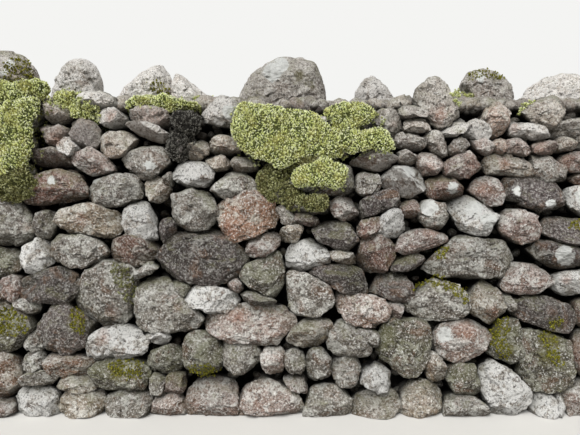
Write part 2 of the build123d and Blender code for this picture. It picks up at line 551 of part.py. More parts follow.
# Hearting: the packed middle of the wall, on which the tail of every stone beds
hearting_low = base_width / 2 - skin_depth / cos(lean)
hearting_high = hearting_low - shoulder_height * tan(lean)
with BuildPart() as hearting:
    with BuildSketch(Plane.YZ.offset(-hearting_length / 2)):
        Polygon(
            (-hearting_low, 0),
            (hearting_low, 0),
            (hearting_high, shoulder_height),
            (-hearting_high, shoulder_height),
            align=None,
        )
    extrude(amount=hearting_length)
keep(hearting.part, "hearting")

# Both faces, course by course
courses = {
    "footings": footings_outlines,
    "course_1": course_1_outlines,
    "course_2": course_2_outlines,
    "course_3": course_3_outlines,
    "course_4": course_4_outlines,
    "course_5": course_5_outlines,
    "course_6": course_6_outlines,
    "course_7": course_7_outlines,
}
for name, outlines in courses.items():
    low = ground if name == "footings" else None
    keep(face_stones(front_face, outlines, low), f"front_{name}")
    keep(face_stones(back_face, outlines, low), f"back_{name}")

# The shoulder: at the front its stones rise between the boulders, at the back they end below them
keep(face_stones(front_face, shoulder_outlines), "front_shoulder")
back_shoulder_top = Plane.XY.offset(shoulder_height - bed_gap)
keep(face_stones(back_face, shoulder_outlines, high=back_shoulder_top), "back_shoulder")

# Ends of the wall
for end_name, side in (("left", -1), ("right", 1)):
    keep(end_stones(side, tie=True), f"{end_name}_end_ties")
    keep(end_stones(side, tie=False), f"{end_name}_end_pairs")

# Front edge of the cope
keep(face_stone(front_face, bridge_stone_outline), "cope_bridge_stone")
keep(face_stone(front_face, grey_rose_outline), "cope_grey_rose")
keep(face_stone(front_face, rusty_stem_outline), "cope_rusty_stem")
keep(face_stone(front_face, beige_front_outline), "cope_beige_front")

# Boulders of the cope, from left to right
keep(cope_boulder(left_outer_outline), "cope_left_outer")
keep(cope_boulder(mossy_end_outline), "cope_mossy_end")
keep(cope_boulder(pale_egg_outline), "cope_pale_egg")
keep(cope_boulder(split_peak_outline), "cope_split_peak")
keep(cope_boulder(thin_fin_outline), "cope_thin_fin")
keep(cope_boulder(great_boulder_outline), "cope_great_boulder")
keep(cope_boulder(pale_nose_outline), "cope_pale_nose")
keep(cope_boulder(mossy_block_outline), "cope_mossy_block")
keep(cope_boulder(capped_boulder_outline), "cope_capped_boulder")
keep(cope_boulder(long_grey_outline), "cope_long_grey")
keep(cope_boulder(right_outer_outline), "cope_right_outer")

# Moss
keep(moss_cushions([left_bank_outline]), "moss_left_bank")
keep(moss_cushions([centre_mound_outline]), "moss_centre_mound")
keep(moss_cushions([right_cushion_outline, right_lobe_outline]), "moss_right_cushions")
keep(moss_cushions([centre_lobe_outline, low_lobe_outline]), "moss_centre_lobes")
with BuildPart() as moss_crest:
    with BuildSketch(front_face.offset(-skin_depth)):
        Polygon(*on_face(left_ridge_outline), align=None)
        Polygon(*on_face(middle_ridge_outline), align=None)
    extrude(amount=skin_depth + moss_fill)
keep(moss_crest.part, "moss_crest")
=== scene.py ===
"""Dresses the dry stone wall: weathered granite boulders, dark rubble between them, and deep moss.

The frame's solids say where each stone lies and how far it reaches. Each one is raised again here as
a boulder of its own kind, with worn corners, flat breaks and a rough skin. Sizes are in metres. Places
given in pixels are places in the photograph's frame, which the camera here repeats.
"""

from __future__ import annotations

import json
import logging
import math
import random
from collections.abc import Iterable
from dataclasses import dataclass, field
from enum import Enum

import bmesh
import bpy
from mathutils import Matrix, Vector, noise
from mathutils.bvhtree import BVHTree

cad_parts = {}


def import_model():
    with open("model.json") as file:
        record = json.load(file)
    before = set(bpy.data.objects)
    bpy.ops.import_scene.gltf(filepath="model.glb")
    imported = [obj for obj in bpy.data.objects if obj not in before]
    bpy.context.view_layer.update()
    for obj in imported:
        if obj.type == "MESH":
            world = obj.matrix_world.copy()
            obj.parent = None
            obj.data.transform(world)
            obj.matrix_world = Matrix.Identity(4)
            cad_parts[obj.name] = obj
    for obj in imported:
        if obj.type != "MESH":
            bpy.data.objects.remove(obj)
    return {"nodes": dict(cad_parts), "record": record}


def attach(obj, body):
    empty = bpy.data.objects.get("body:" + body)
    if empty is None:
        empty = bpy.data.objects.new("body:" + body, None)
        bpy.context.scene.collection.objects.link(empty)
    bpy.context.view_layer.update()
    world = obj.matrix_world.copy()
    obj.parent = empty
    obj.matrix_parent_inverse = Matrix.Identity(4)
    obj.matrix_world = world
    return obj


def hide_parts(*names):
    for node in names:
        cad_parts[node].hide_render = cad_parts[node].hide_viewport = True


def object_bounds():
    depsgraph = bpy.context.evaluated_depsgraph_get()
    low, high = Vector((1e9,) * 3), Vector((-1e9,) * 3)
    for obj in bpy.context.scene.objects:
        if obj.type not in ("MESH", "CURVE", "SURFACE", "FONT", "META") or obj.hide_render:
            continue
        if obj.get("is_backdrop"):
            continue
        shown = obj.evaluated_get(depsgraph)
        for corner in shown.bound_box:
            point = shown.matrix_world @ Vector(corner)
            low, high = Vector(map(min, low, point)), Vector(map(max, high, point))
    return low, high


LOG = logging.getLogger("dry_stone_wall")
NOISE_SEED = 1
WELD = 1e-5
# The front as it stands, and turned round to the back.
BEHIND = Matrix.Rotation(math.pi, 4, "Z")
SIDES = (Matrix.Identity(4), BEHIND)
UPWARD = Vector((0, 0, 1))
# What a stone's finish reads at each vertex, and a reach that is clear of every patch.
MARKS = ("depth", "white", "ochre", "rose", "tone")
CLEAR = 1.0


def linear(code: str) -> tuple[float, float, float, float]:
    """Turns an sRGB hex colour to linear light.

    Args:
        code: The colour as six hex digits with a leading hash.

    Returns:
        Red, green, blue and an alpha of 1.
    """
    parts = [int(code[i : i + 2], 16) / 255 for i in (1, 3, 5)]
    red, green, blue = (p / 12.92 if p <= 0.04045 else ((p + 0.055) / 1.055) ** 2.4 for p in parts)
    return red, green, blue, 1.0


def per_metre(size: float) -> float:
    """Scale of a pattern whose features lie so many millimetres apart."""
    return 1000 / size


def add_node(
    tree: bpy.types.NodeTree,
    kind: str,
    feeds: dict[str | int, object] | None = None,
    **settings: object,
) -> bpy.types.Node:
    """Adds a node with its settings and what feeds its sockets.

    Args:
        tree: The node tree that the node joins.
        kind: The node's type name.
        feeds: Input sockets by name or number, each with a value or the socket it is linked from.
        **settings: The node's own properties.

    Returns:
        The new node.
    """
    node = tree.nodes.new(kind)
    for name, value in settings.items():
        setattr(node, name, value)
    for key, value in (feeds or {}).items():
        if isinstance(value, bpy.types.NodeSocket):
            tree.links.new(value, node.inputs[key])
        else:
            node.inputs[key].default_value = value
    return node


def blank_material(name: str) -> bpy.types.Material:
    """Makes a material whose node tree is empty.

    Args:
        name: The material's name.

    Returns:
        The new material.
    """
    made = bpy.data.materials.new(name)
    made.use_nodes = True
    made.node_tree.nodes.clear()
    return made


def welded(node: bpy.types.Object) -> bmesh.types.BMesh:
    """Copies the mesh of one of the frame's nodes, with its loose triangles joined.

    Args:
        node: The frame's object, which is left as it is.

    Returns:
        The joined copy.
    """
    mesh = bmesh.new()
    mesh.from_mesh(node.data)
    bmesh.ops.remove_doubles(mesh, verts=mesh.verts, dist=WELD)
    return mesh


def relax(
    mesh: bmesh.types.BMesh, verts: Iterable[bmesh.types.BMVert], factor: float, rounds: int
) -> None:
    """Smooths vertices towards their neighbours.

    Args:
        mesh: The mesh that they belong to.
        verts: The vertices.
        factor: How far each one goes in a round.
        rounds: How often they go.
    """
    for _ in range(rounds):
        bmesh.ops.smooth_vert(
            mesh, verts=verts, factor=factor, use_axis_x=True, use_axis_y=True, use_axis_z=True
        )


def box_of(points: Iterable[Vector]) -> tuple[Vector, Vector]:
    """Finds the box that holds some points.

    Args:
        points: The points.

    Returns:
        The box's least and greatest corner.
    """
    axes = list(zip(*points))
    return Vector([min(axis) for axis in axes]), Vector([max(axis) for axis in axes])


def bedding(origin: Vector, up: Vector, out: Vector) -> Matrix:
    """Axes of a face of the wall: along it, up it and out of it."""
    axes = Matrix((up.cross(out), up, out)).transposed().to_4x4()
    return Matrix.Translation(origin) @ axes


def make_piece(data: bpy.types.Mesh, materials: list[bpy.types.Material]) -> bpy.types.Object:
    """Makes a mesh an object at the origin, with its materials.

    Args:
        data: The mesh, whose name the piece takes.
        materials: Its materials in order.

    Returns:
        The new object.
    """
    for material in materials:
        data.materials.append(material)
    piece = bpy.data.objects.new(data.name, data)
    bpy.context.scene.collection.objects.link(piece)
    return piece


def finish_piece(
    name: str, mesh: bmesh.types.BMesh, materials: list[bpy.types.Material]
) -> bpy.types.Object:
    """Turns a modelled mesh into an object.

    Args:
        name: The piece's name.
        mesh: Its mesh, which is freed.
        materials: Its materials in order.

    Returns:
        The new object.
    """
    data = bpy.data.meshes.new(name)
    mesh.to_mesh(data)
    mesh.free()
    return make_piece(data, materials)


@dataclass(frozen=True)
class Viewpoint:
    """Where the photograph was taken: square on to the leaning face, a little over two metres off.

    A pixel covers a square of the front face, whose side in metres is the first field.
    """

    square: float = 0.004
    focal: float = 520.0
    width: float = 580.0
    height: float = 435.0
    ground_line: float = 415.0
    half_base: float = 0.350
    lean: float = math.radians(7.0)
    sensor: float = 36.0

    @property
    def foot(self) -> Vector:
        """Foot of the front face, midway along it."""
        return Vector((0, -self.half_base, 0))

    @property
    def up(self) -> Vector:
        """Direction up the slope of the front face."""
        return Vector((0, math.sin(self.lean), math.cos(self.lean)))

    @property
    def out(self) -> Vector:
        """Direction out of the front face."""
        return Vector((0, -math.cos(self.lean), math.sin(self.lean)))

    @property
    def eye(self) -> Vector:
        """The lens."""
        rise = (self.ground_line - self.height / 2) * self.square
        return self.foot + self.up * rise + self.out * self.focal * self.square

    def ray(self, x: float, y: float) -> Vector:
        """Direction from the lens through a pixel of the photograph."""
        right = Vector(((x - self.width / 2) / self.focal, 0, 0))
        return (right + self.up * ((self.height / 2 - y) / self.focal) - self.out).normalized()

    def pixel(self, point: Vector) -> tuple[float, float]:
        """Finds the pixel of the photograph at which a point shows.

        Args:
            point: The point, in front of the lens.

        Returns:
            The pixel's place across and down.
        """
        arm = point - self.eye
        depth = -arm.dot(self.out)
        scale = self.focal / depth
        return self.width / 2 + arm.x * scale, self.height / 2 - arm.dot(self.up) * scale

    def set_camera(self) -> None:
        """Puts the scene's camera at the lens."""
        data = bpy.data.cameras.new("view")
        data.sensor_fit = "HORIZONTAL"
        data.sensor_width = self.sensor
        data.lens = self.sensor * self.focal / self.width
        camera = bpy.data.objects.new("view", data)
        camera.matrix_world = bedding(self.eye, self.up, self.out)
        bpy.context.scene.collection.objects.link(camera)
        bpy.context.scene.camera = camera


class StoneKind(Enum):
    """Kinds of boulder in the wall, by the look of their skin."""

    GREY = "G"
    PALE = "P"
    BUFF = "B"
    PINK = "K"
    RED = "R"
    DARK = "D"
    MOSSY = "M"
    CAPPED = "W"
    RUSTY = "O"

    @property
    def number(self) -> int:
        """Number of the kind's material on a piece."""
        return list(StoneKind).index(self)


@dataclass(frozen=True)
class Coat:
    """A coat of colour: the field it reads, where it starts and covers, how thickly, and its colour."""

    reads: str
    start: float
    full: float
    thickness: float
    colour: str

    def over(
        self, tree: bpy.types.NodeTree, under: object, fields: dict[str, bpy.types.NodeSocket]
    ) -> bpy.types.NodeSocket:
        """Lays the coat over what is there.

        Args:
            tree: The material's node tree.
            under: The colour beneath, plain or from a socket.
            fields: The fields that coats read, by name.

        Returns:
            The socket of the new colour.
        """
        reach = {"From Min": self.start, "From Max": self.full, "To Max": self.thickness}
        mask = add_node(tree, "ShaderNodeMapRange", {"Value": fields[self.reads], **reach}).outputs[0]
        feeds = {0: mask, 6: under, 7: linear(self.colour)}
        return add_node(tree, "ShaderNodeMix", feeds, data_type="RGBA").outputs[2]


@dataclass(frozen=True)
class Granite:
    """Field granite: a coarse speckled rock, rounded by ice, under crusts of lichen and algae."""

    name: str
    body: str
    shade: str
    crust: str = "#bcbdb4"
    crust_cover: float = 0.5
    algae: str = "#77763f"
    algae_cover: float = 0.35
    pale_fleck: str = "#ded9d0"
    dark_fleck: str = "#2c2926"
    stain: str = "#84654e"
    sparkle: float = 0.86
    # The share of painted top light, paler on upward faces, that each stone takes.
    painted_top_light: float = 0.34
    # The colour of the painted shade on undersides, and the upward reading where it starts and where it is
    # full.
    under: str = "#2f2a24"
    under_from: float = -0.05
    under_to: float = -0.70
    roughness: float = 0.88

    def coats(self) -> tuple[Coat, ...]:
        """Lists the coats over the stone's body.

        Returns:
            The coats, from the rock outwards.
        """
        cover = 0.725 - 0.44 * (self.crust_cover - 0.5)
        green = 0.52 - 0.32 * (self.algae_cover - 0.5)
        return (
            # The rock's second tone, in clouds, and the damp towards the foot of the wall.
            Coat("cloud", 0.42, 0.60, 1.0, self.shade),
            Coat("height", 1.10, 0.35, 0.34, "#5b5644"),
            # Crystals of feldspar and of mica.
            Coat("feldspar", 0.74, 0.78, 0.25, self.pale_fleck),
            Coat("mica", 0.80, 0.84, 0.40, self.dark_fleck),
            # Iron stain, and a ragged crust of lichen.
            Coat("algae", 0.47, 0.40, 0.62, self.stain),
            Coat("patchy", cover, cover + 0.04, 0.88, self.crust),
            # Painted top light: paler on the top of each stone, where the light falls, and paler on the
            # upper courses.
            Coat("upward", 0.15, 0.80, self.painted_top_light, "#f0eee8"),
            Coat("height", 0.92, 1.18, 0.36, "#f6ece2"),
            # Patches of rose stain and of white lichen.
            Coat("rose", 0.085, 0.045, 0.64, "#b3836c"),
            Coat("white", 0.040, 0.036, 0.90, "#f4f5f1"),
            # The grain: dirty hollows, dark pits and bright grains.
            Coat("ragged", 0.45, 0.38, 0.70, "#413b35"),
            Coat("grit", 0.445, 0.395, 0.78, "#231f1c"),
            Coat("grit", 0.555, 0.600, self.sparkle, "#fffefa"),
            # What grows over the grain: algae, ochre moss and the thick middle of the white lichen.
            Coat("sunny", green + 0.02, green + 0.16, 0.45, self.algae),
            Coat("ochre", 0.072, 0.050, 0.60, "#6d6730"),
            Coat("white", 0.038, 0.034, 0.78, "#f4f5f1"),
            # The joints and the undersides, in painted shade: greenish and darker at the lip of the joints,
            # dark on undersides, and black within the joints, which stands for dirt as well as shade.
            Coat("depth", 0.020, 0.002, 0.30, "#62614a"),
            Coat("upward", self.under_from, self.under_to, 0.62, self.under),
            Coat("depth", 0.002, -0.040, 0.92, "#12100c"),
        )

    @staticmethod
    def _fields(
        tree: bpy.types.NodeTree, place: bpy.types.NodeSocket
    ) -> dict[str, bpy.types.NodeSocket]:
        """Makes the fields that coats are read from.

        Args:
            tree: The material's node tree.
            place: The socket of the piece's Object coordinates.

        Returns:
            The fields' sockets by name.
        """
        # Clouds a hand's breadth wide, crusts and algae with ragged edges, and a grain of 8 mm: coarser
        # than the rock's own, so that it shows.
        patterns = {
            "cloud": {"Scale": per_metre(125), "Detail": 6.0, "Roughness": 0.65},
            "grit": {"Scale": per_metre(8), "Detail": 4.0, "Roughness": 0.8},
            "crust": {"Scale": per_metre(77), "Detail": 10.0, "Roughness": 0.74, "Distortion": 0.5},
            "algae": {"Scale": per_metre(111), "Detail": 9.0, "Roughness": 0.72, "Distortion": 0.6},
            "ragged": {"Scale": per_metre(22), "Detail": 7.0, "Roughness": 0.78},
        }
        facing = add_node(tree, "ShaderNodeNewGeometry").outputs["Normal"]
        # Crystals of a few millimetres, drawn at 5 mm so that they show. Each draws its mineral by lot.
        crystals = add_node(tree, "ShaderNodeTexVoronoi", {"Vector": place, "Scale": per_metre(5.3)})
        lot = add_node(tree, "ShaderNodeSeparateColor", {0: crystals.outputs["Color"]})
        fields = {
            "upward": add_node(tree, "ShaderNodeSeparateXYZ", {0: facing}).outputs["Z"],
            "height": add_node(tree, "ShaderNodeSeparateXYZ", {0: place}).outputs["Z"],
            "feldspar": lot.outputs["Red"],
            "mica": lot.outputs["Green"],
        }
        for name in MARKS:
            fields[name] = add_node(tree, "ShaderNodeAttribute", attribute_name=name).outputs["Fac"]
        for name, feeds in patterns.items():
            fields[name] = add_node(tree, "ShaderNodeTexNoise", {"Vector": place, **feeds}).outputs["Fac"]
        # Sums of two fields, the first of them scaled, which fray the edge of the second.
        sums = {
            "patchy": ("ragged", 0.45, "crust"),
            "white": ("ragged", 0.070, "white"),
            "ochre": ("ragged", 0.140, "ochre"),
            "rose": ("algae", 0.160, "rose"),
            "sunny": ("upward", 0.16, "algae"),
            "pitted": ("grit", 0.35, "ragged"),
        }
        for name, (first, share, second) in sums.items():
            feeds = {0: fields[first], 1: share, 2: fields[second]}
            fields[name] = add_node(tree, "ShaderNodeMath", feeds, operation="MULTIPLY_ADD").outputs[0]
        return fields

    def material(self) -> bpy.types.Material:
        """Makes the stone's material.

        Returns:
            A material that reads the piece's Object coordinates and its marks.
        """
        made = blank_material(self.name)
        tree = made.node_tree
        place = add_node(tree, "ShaderNodeTexCoord").outputs["Object"]
        fields = self._fields(tree, place)
        colour: object = linear(self.body)
        for coat in self.coats():
            colour = coat.over(tree, colour, fields)
        # Each stone is a little lighter or darker than the next of its kind.
        feeds = {0: fields["tone"], 1: 0.13, 2: 1.0}
        value = add_node(tree, "ShaderNodeMath", feeds, operation="MULTIPLY_ADD").outputs[0]
        toned = add_node(tree, "ShaderNodeHueSaturation", {"Color": colour, "Value": value}).outputs[0]
        feeds = {"Height": fields["pitted"], "Strength": 1.0, "Distance": 0.022}
        skin = add_node(tree, "ShaderNodeBump", feeds).outputs[0]
        feeds = {
            "Base Color": toned,
            "Roughness": self.roughness,
            "Specular IOR Level": 0.25,
            "Normal": skin,
        }
        surface = add_node(tree, "ShaderNodeBsdfPrincipled", feeds).outputs[0]
        add_node(tree, "ShaderNodeOutputMaterial", {"Surface": surface})
        return made


GRANITES: dict[StoneKind, Granite] = {
    # Grey rock silvered by thin lichen: the commonest look, cool and matt.
    StoneKind.GREY: Granite("lichened_grey_granite", "#aaa399", "#7c7168", "#cfcdc5", 0.46, painted_top_light=0.30),
    # Rock rich in white feldspar, nearly free of algae: the brightest stones in the face.
    StoneKind.PALE: Granite("pale_granite", "#e6dfd6", "#bdb2a7", "#f8f7f4", 0.64, algae_cover=0.15),
    # Weathered feldspar: straw-coloured and warm.
    StoneKind.BUFF: Granite("buff_granite", "#c4b29d", "#927f69", "#ddd8cd", 0.46),
    # Pink feldspar under little green: clean and rosy.
    StoneKind.PINK: Granite("pink_granite", "#cfb0a4", "#a0877f", "#e4dfd8", 0.46, algae_cover=0.2),
    # Fine rock rich in iron: a dull red-brown with few bright grains.
    StoneKind.RED: Granite(
        "red_brown_granite", "#8e675a", "#5e4640", "#c4bdb4", 0.40, sparkle=0.50, painted_top_light=0.20
    ),
    # Rock rich in mica: the deepest tone, flecked with lichen.
    StoneKind.DARK: Granite(
        "dark_granite", "#6c6060", "#3f3637", "#a3a09a", 0.34, algae_cover=0.3, sparkle=0.42, painted_top_light=0.10
    ),
    # Grey rock in the shade, greened over by algae: olive and soft.
    StoneKind.MOSSY: Granite(
        "mossy_granite", "#868070", "#565041", "#b3b2a2", 0.46, "#6f7040", 0.58, painted_top_light=0.20
    ),
    # Rock that iron has run down: a pale orange-brown.
    StoneKind.RUSTY: Granite("rust_stained_granite", "#c2957a", "#946c55", "#d2cabd", 0.42, algae_cover=0.2),
    # Rock with a cap of white lichen, bare and brown where it turns under: the brown is the bare rock's and
    # also painted shade.
    StoneKind.CAPPED: Granite(
        "white_capped_granite",
        "#d6d1c8",
        "#8f7b6d",
        "#eeeee9",
        0.6,
        algae_cover=0.1,
        under="#4b382b",
        under_from=0.30,
        under_to=-0.05,
    ),
}


@dataclass
class Solid:
    """One closed solid of the frame."""

    corners: list[Vector]
    faces: list[tuple[int, ...]]

    def tree(self) -> BVHTree:
        """A search tree over the solid's faces."""
        return BVHTree.FromPolygons(self.corners, self.faces)

    @property
    def middle_x(self) -> float:
        """Middle of the solid along the wall."""
        along = [corner.x for corner in self.corners]
        return (min(along) + max(along)) / 2


def island_from(
    start: bmesh.types.BMVert, seen: set[bmesh.types.BMVert]
) -> list[bmesh.types.BMVert]:
    """Collects the vertices that edges join to one of them.

    Args:
        start: The first vertex.
        seen: Vertices met so far, which grows.

    Returns:
        The vertices in the order that they are met.
    """
    island, waiting = [], [start]
    seen.add(start)
    while waiting:
        vert = waiting.pop()
        island.append(vert)
        for edge in vert.link_edges:
            other = edge.other_vert(vert)
            if other not in seen:
                seen.add(other)
                waiting.append(other)
    return island


def solids_of(node: bpy.types.Object) -> list[Solid]:
    """Reads a node's separate solids.

    Args:
        node: The frame's object.

    Returns:
        Its solids, from left to right along the wall.
    """
    mesh = welded(node)
    mesh.faces.index_update()
    seen: set[bmesh.types.BMVert] = set()
    solids = []
    for start in mesh.verts:
        if start in seen:
            continue
        island = island_from(start, seen)
        numbers = {vert: number for number, vert in enumerate(island)}
        faces = {face for vert in island for face in vert.link_faces}
        ordered = sorted(faces, key=lambda face: face.index)
        corners = [vert.co.copy() for vert in island]
        solids.append(Solid(corners, [tuple(numbers[vert] for vert in face.verts) for face in ordered]))
    mesh.free()
    return sorted(solids, key=lambda solid: solid.middle_x)


@dataclass
class Site:
    """The frame as loaded: its nodes, the slots of their materials and the box they fill."""

    nodes: dict[str, bpy.types.Object]
    slots: dict[str, str]
    low: Vector
    high: Vector

    def place(self, piece: bpy.types.Object, node: str) -> None:
        """Lets a piece ride on the frame in place of a node.

        Args:
            piece: The finished piece.
            node: The node's name.
        """
        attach(piece, "root")
        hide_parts(node)
        LOG.info("%s: %d faces", piece.name, len(piece.data.polygons))

    def add(self, piece: bpy.types.Object, like: str) -> None:
        """Lets a piece that no node stands for ride on the frame.

        Args:
            piece: The finished piece.
            like: A node's name; not used.
        """
        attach(piece, "root")
        LOG.info("%s: %d faces", piece.name, len(piece.data.polygons))

    def hold_in(self, mesh: bmesh.types.BMesh) -> None:
        """Keeps hard vertices inside the frame's box.

        Args:
            mesh: The mesh, in the frame's own axes.
        """
        for vert in mesh.verts:
            for i in range(3):
                vert.co[i] = min(max(vert.co[i], self.low[i]), self.high[i])


@dataclass(frozen=True)
class Breaks:
    """Flat breaks on a boulder: how many, how far they lean off its crown in radians, and how deep."""

    count: int
    least_lean: float
    most_lean: float
    depth: float


@dataclass(frozen=True)
class Wear:
    """How a boulder is shaped from its solid.

    Breaks come round the sides, then broad over the front, then over the shoulders. Lumps, pits and
    flakes are counted in a metre, and breaks are as deep as a share of the boulder's reach.
    """

    breaks: tuple[Breaks, ...] = (
        Breaks(7, 1.15, 1.60, 0.20),
        Breaks(3, 0.15, 0.60, 0.40),
        Breaks(9, 0.30, 1.05, 0.20),
    )
    least_break: float = 0.3
    flatness: float = 0.97
    rounding: int = 1
    softness: float = 0.22
    swell: float = 0.0105
    proud: float = 0.055
    lump: float = 0.007
    lumps: float = 11.0
    lumpy_over: float = 0.08
    pit: float = 0.0022
    pits: float = 60.0
    flake: float = 0.24
    flakes: float = 20.0
    chips: float = 52.0
    chip_share: float = 0.8
    flake_lean: float = 1.6
    side_push: float = 0.002
    crown_push: float = 0.022
    fineness: int = 0
    fine_over: float = 0.098
    coarse_under: float = 0.034


# Boulders of the cope: rolled smoother, with shallow breaks and none round their sides.
CALM = Wear(
    breaks=(Breaks(3, 0.15, 0.60, 0.17), Breaks(9, 0.30, 1.05, 0.11)), rounding=2, proud=0.0, fine_over=0.05
)


@dataclass(frozen=True)
class Patch:
    """A round patch of lichen or moss, by its place in the photograph and its radius, in pixels."""

    x: float
    y: float
    radius: float
    stretch: float = 1.0
    proud: float = 0.0


WHITE_LICHEN = (
    Patch(565, 256, 9),
    Patch(273, 72, 9),
    Patch(281, 65, 7),
    Patch(429, 208, 8),
    Patch(474, 210, 8),
    Patch(489, 221, 7),
    Patch(453, 188, 5),
    Patch(517, 191, 3.5),
    Patch(551, 204, 4),
    Patch(52, 180, 3),
    Patch(9, 64, 4.5),
    Patch(4, 72, 3),
    Patch(230, 112, 7),
    Patch(585, 196, 9),
    Patch(408, 172, 6),
    Patch(150, 166, 5),
    Patch(95, 178, 4),
    Patch(445, 335, 7),
    Patch(500, 72, 3),
    Patch(480, 77, 4),
)
ROSE_STAIN = (
    Patch(443, 113, 11),
    Patch(430, 168, 7),
    Patch(394, 125, 6),
    Patch(516, 128, 6),
    Patch(541, 145, 5),
    Patch(567, 160, 9),
    Patch(504, 163, 8),
    Patch(480, 190, 8),
    Patch(431, 233, 8),
    Patch(464, 330, 12),
    Patch(493, 311, 6),
    Patch(567, 280, 6),
    Patch(230, 230, 11),
    Patch(111, 311, 9),
    Patch(178, 307, 8),
    Patch(80, 220, 6),
    Patch(238, 318, 10),
    Patch(28, 228, 8),
    Patch(104, 337, 8),
    Patch(11, 290, 8),
    Patch(111, 116, 6),
    Patch(92, 171, 6),
    Patch(50, 110, 7),
    Patch(56, 140, 6),
    Patch(222, 147, 6),
)
OCHRE_MOSS = (
    Patch(550, 340, 12),
    Patch(545, 358, 9),
    Patch(556, 323, 7),
    Patch(18, 66, 9),
    Patch(26, 80, 9),
    Patch(10, 82, 8),
    Patch(160, 85, 6),
    Patch(76, 322, 9),
    Patch(498, 330, 10),
    Patch(508, 350, 8),
    Patch(432, 284, 6),
    Patch(452, 288, 6),
    Patch(118, 371, 12),
    Patch(300, 76, 7),
    Patch(310, 84, 6),
    Patch(472, 78, 4),
)
PATCHES = {"white": WHITE_LICHEN, "ochre": OCHRE_MOSS, "rose": ROSE_STAIN}


@dataclass
class Block:
    """A boulder in the making: its vertices, the axes of its bedding and its box in those axes."""

    verts: list[bmesh.types.BMVert]
    axes: Matrix
    low: Vector
    high: Vector

    @property
    def heart(self) -> Vector:
        """Middle of the box."""
        return (self.low + self.high) / 2

    @property
    def reach(self) -> Vector:
        """Half of the box's sides."""
        return (self.high - self.low) / 2

    @property
    def girth(self) -> float:
        """The larger reach across the face."""
        return max(self.reach.x, self.reach.y)


def dress_faces(mesh: bmesh.types.BMesh, first: int, kind: StoneKind, smooth: bool) -> None:
    """Gives a mesh's latest faces their kind of stone and their shading.

    Args:
        mesh: The mesh.
        first: Number of the first of them.
        kind: The kind of stone.
        smooth: Whether they are shaded round.
    """
    mesh.faces.ensure_lookup_table()
    for number in range(first, len(mesh.faces)):
        mesh.faces[number].material_index = kind.number
        mesh.faces[number].smooth = smooth


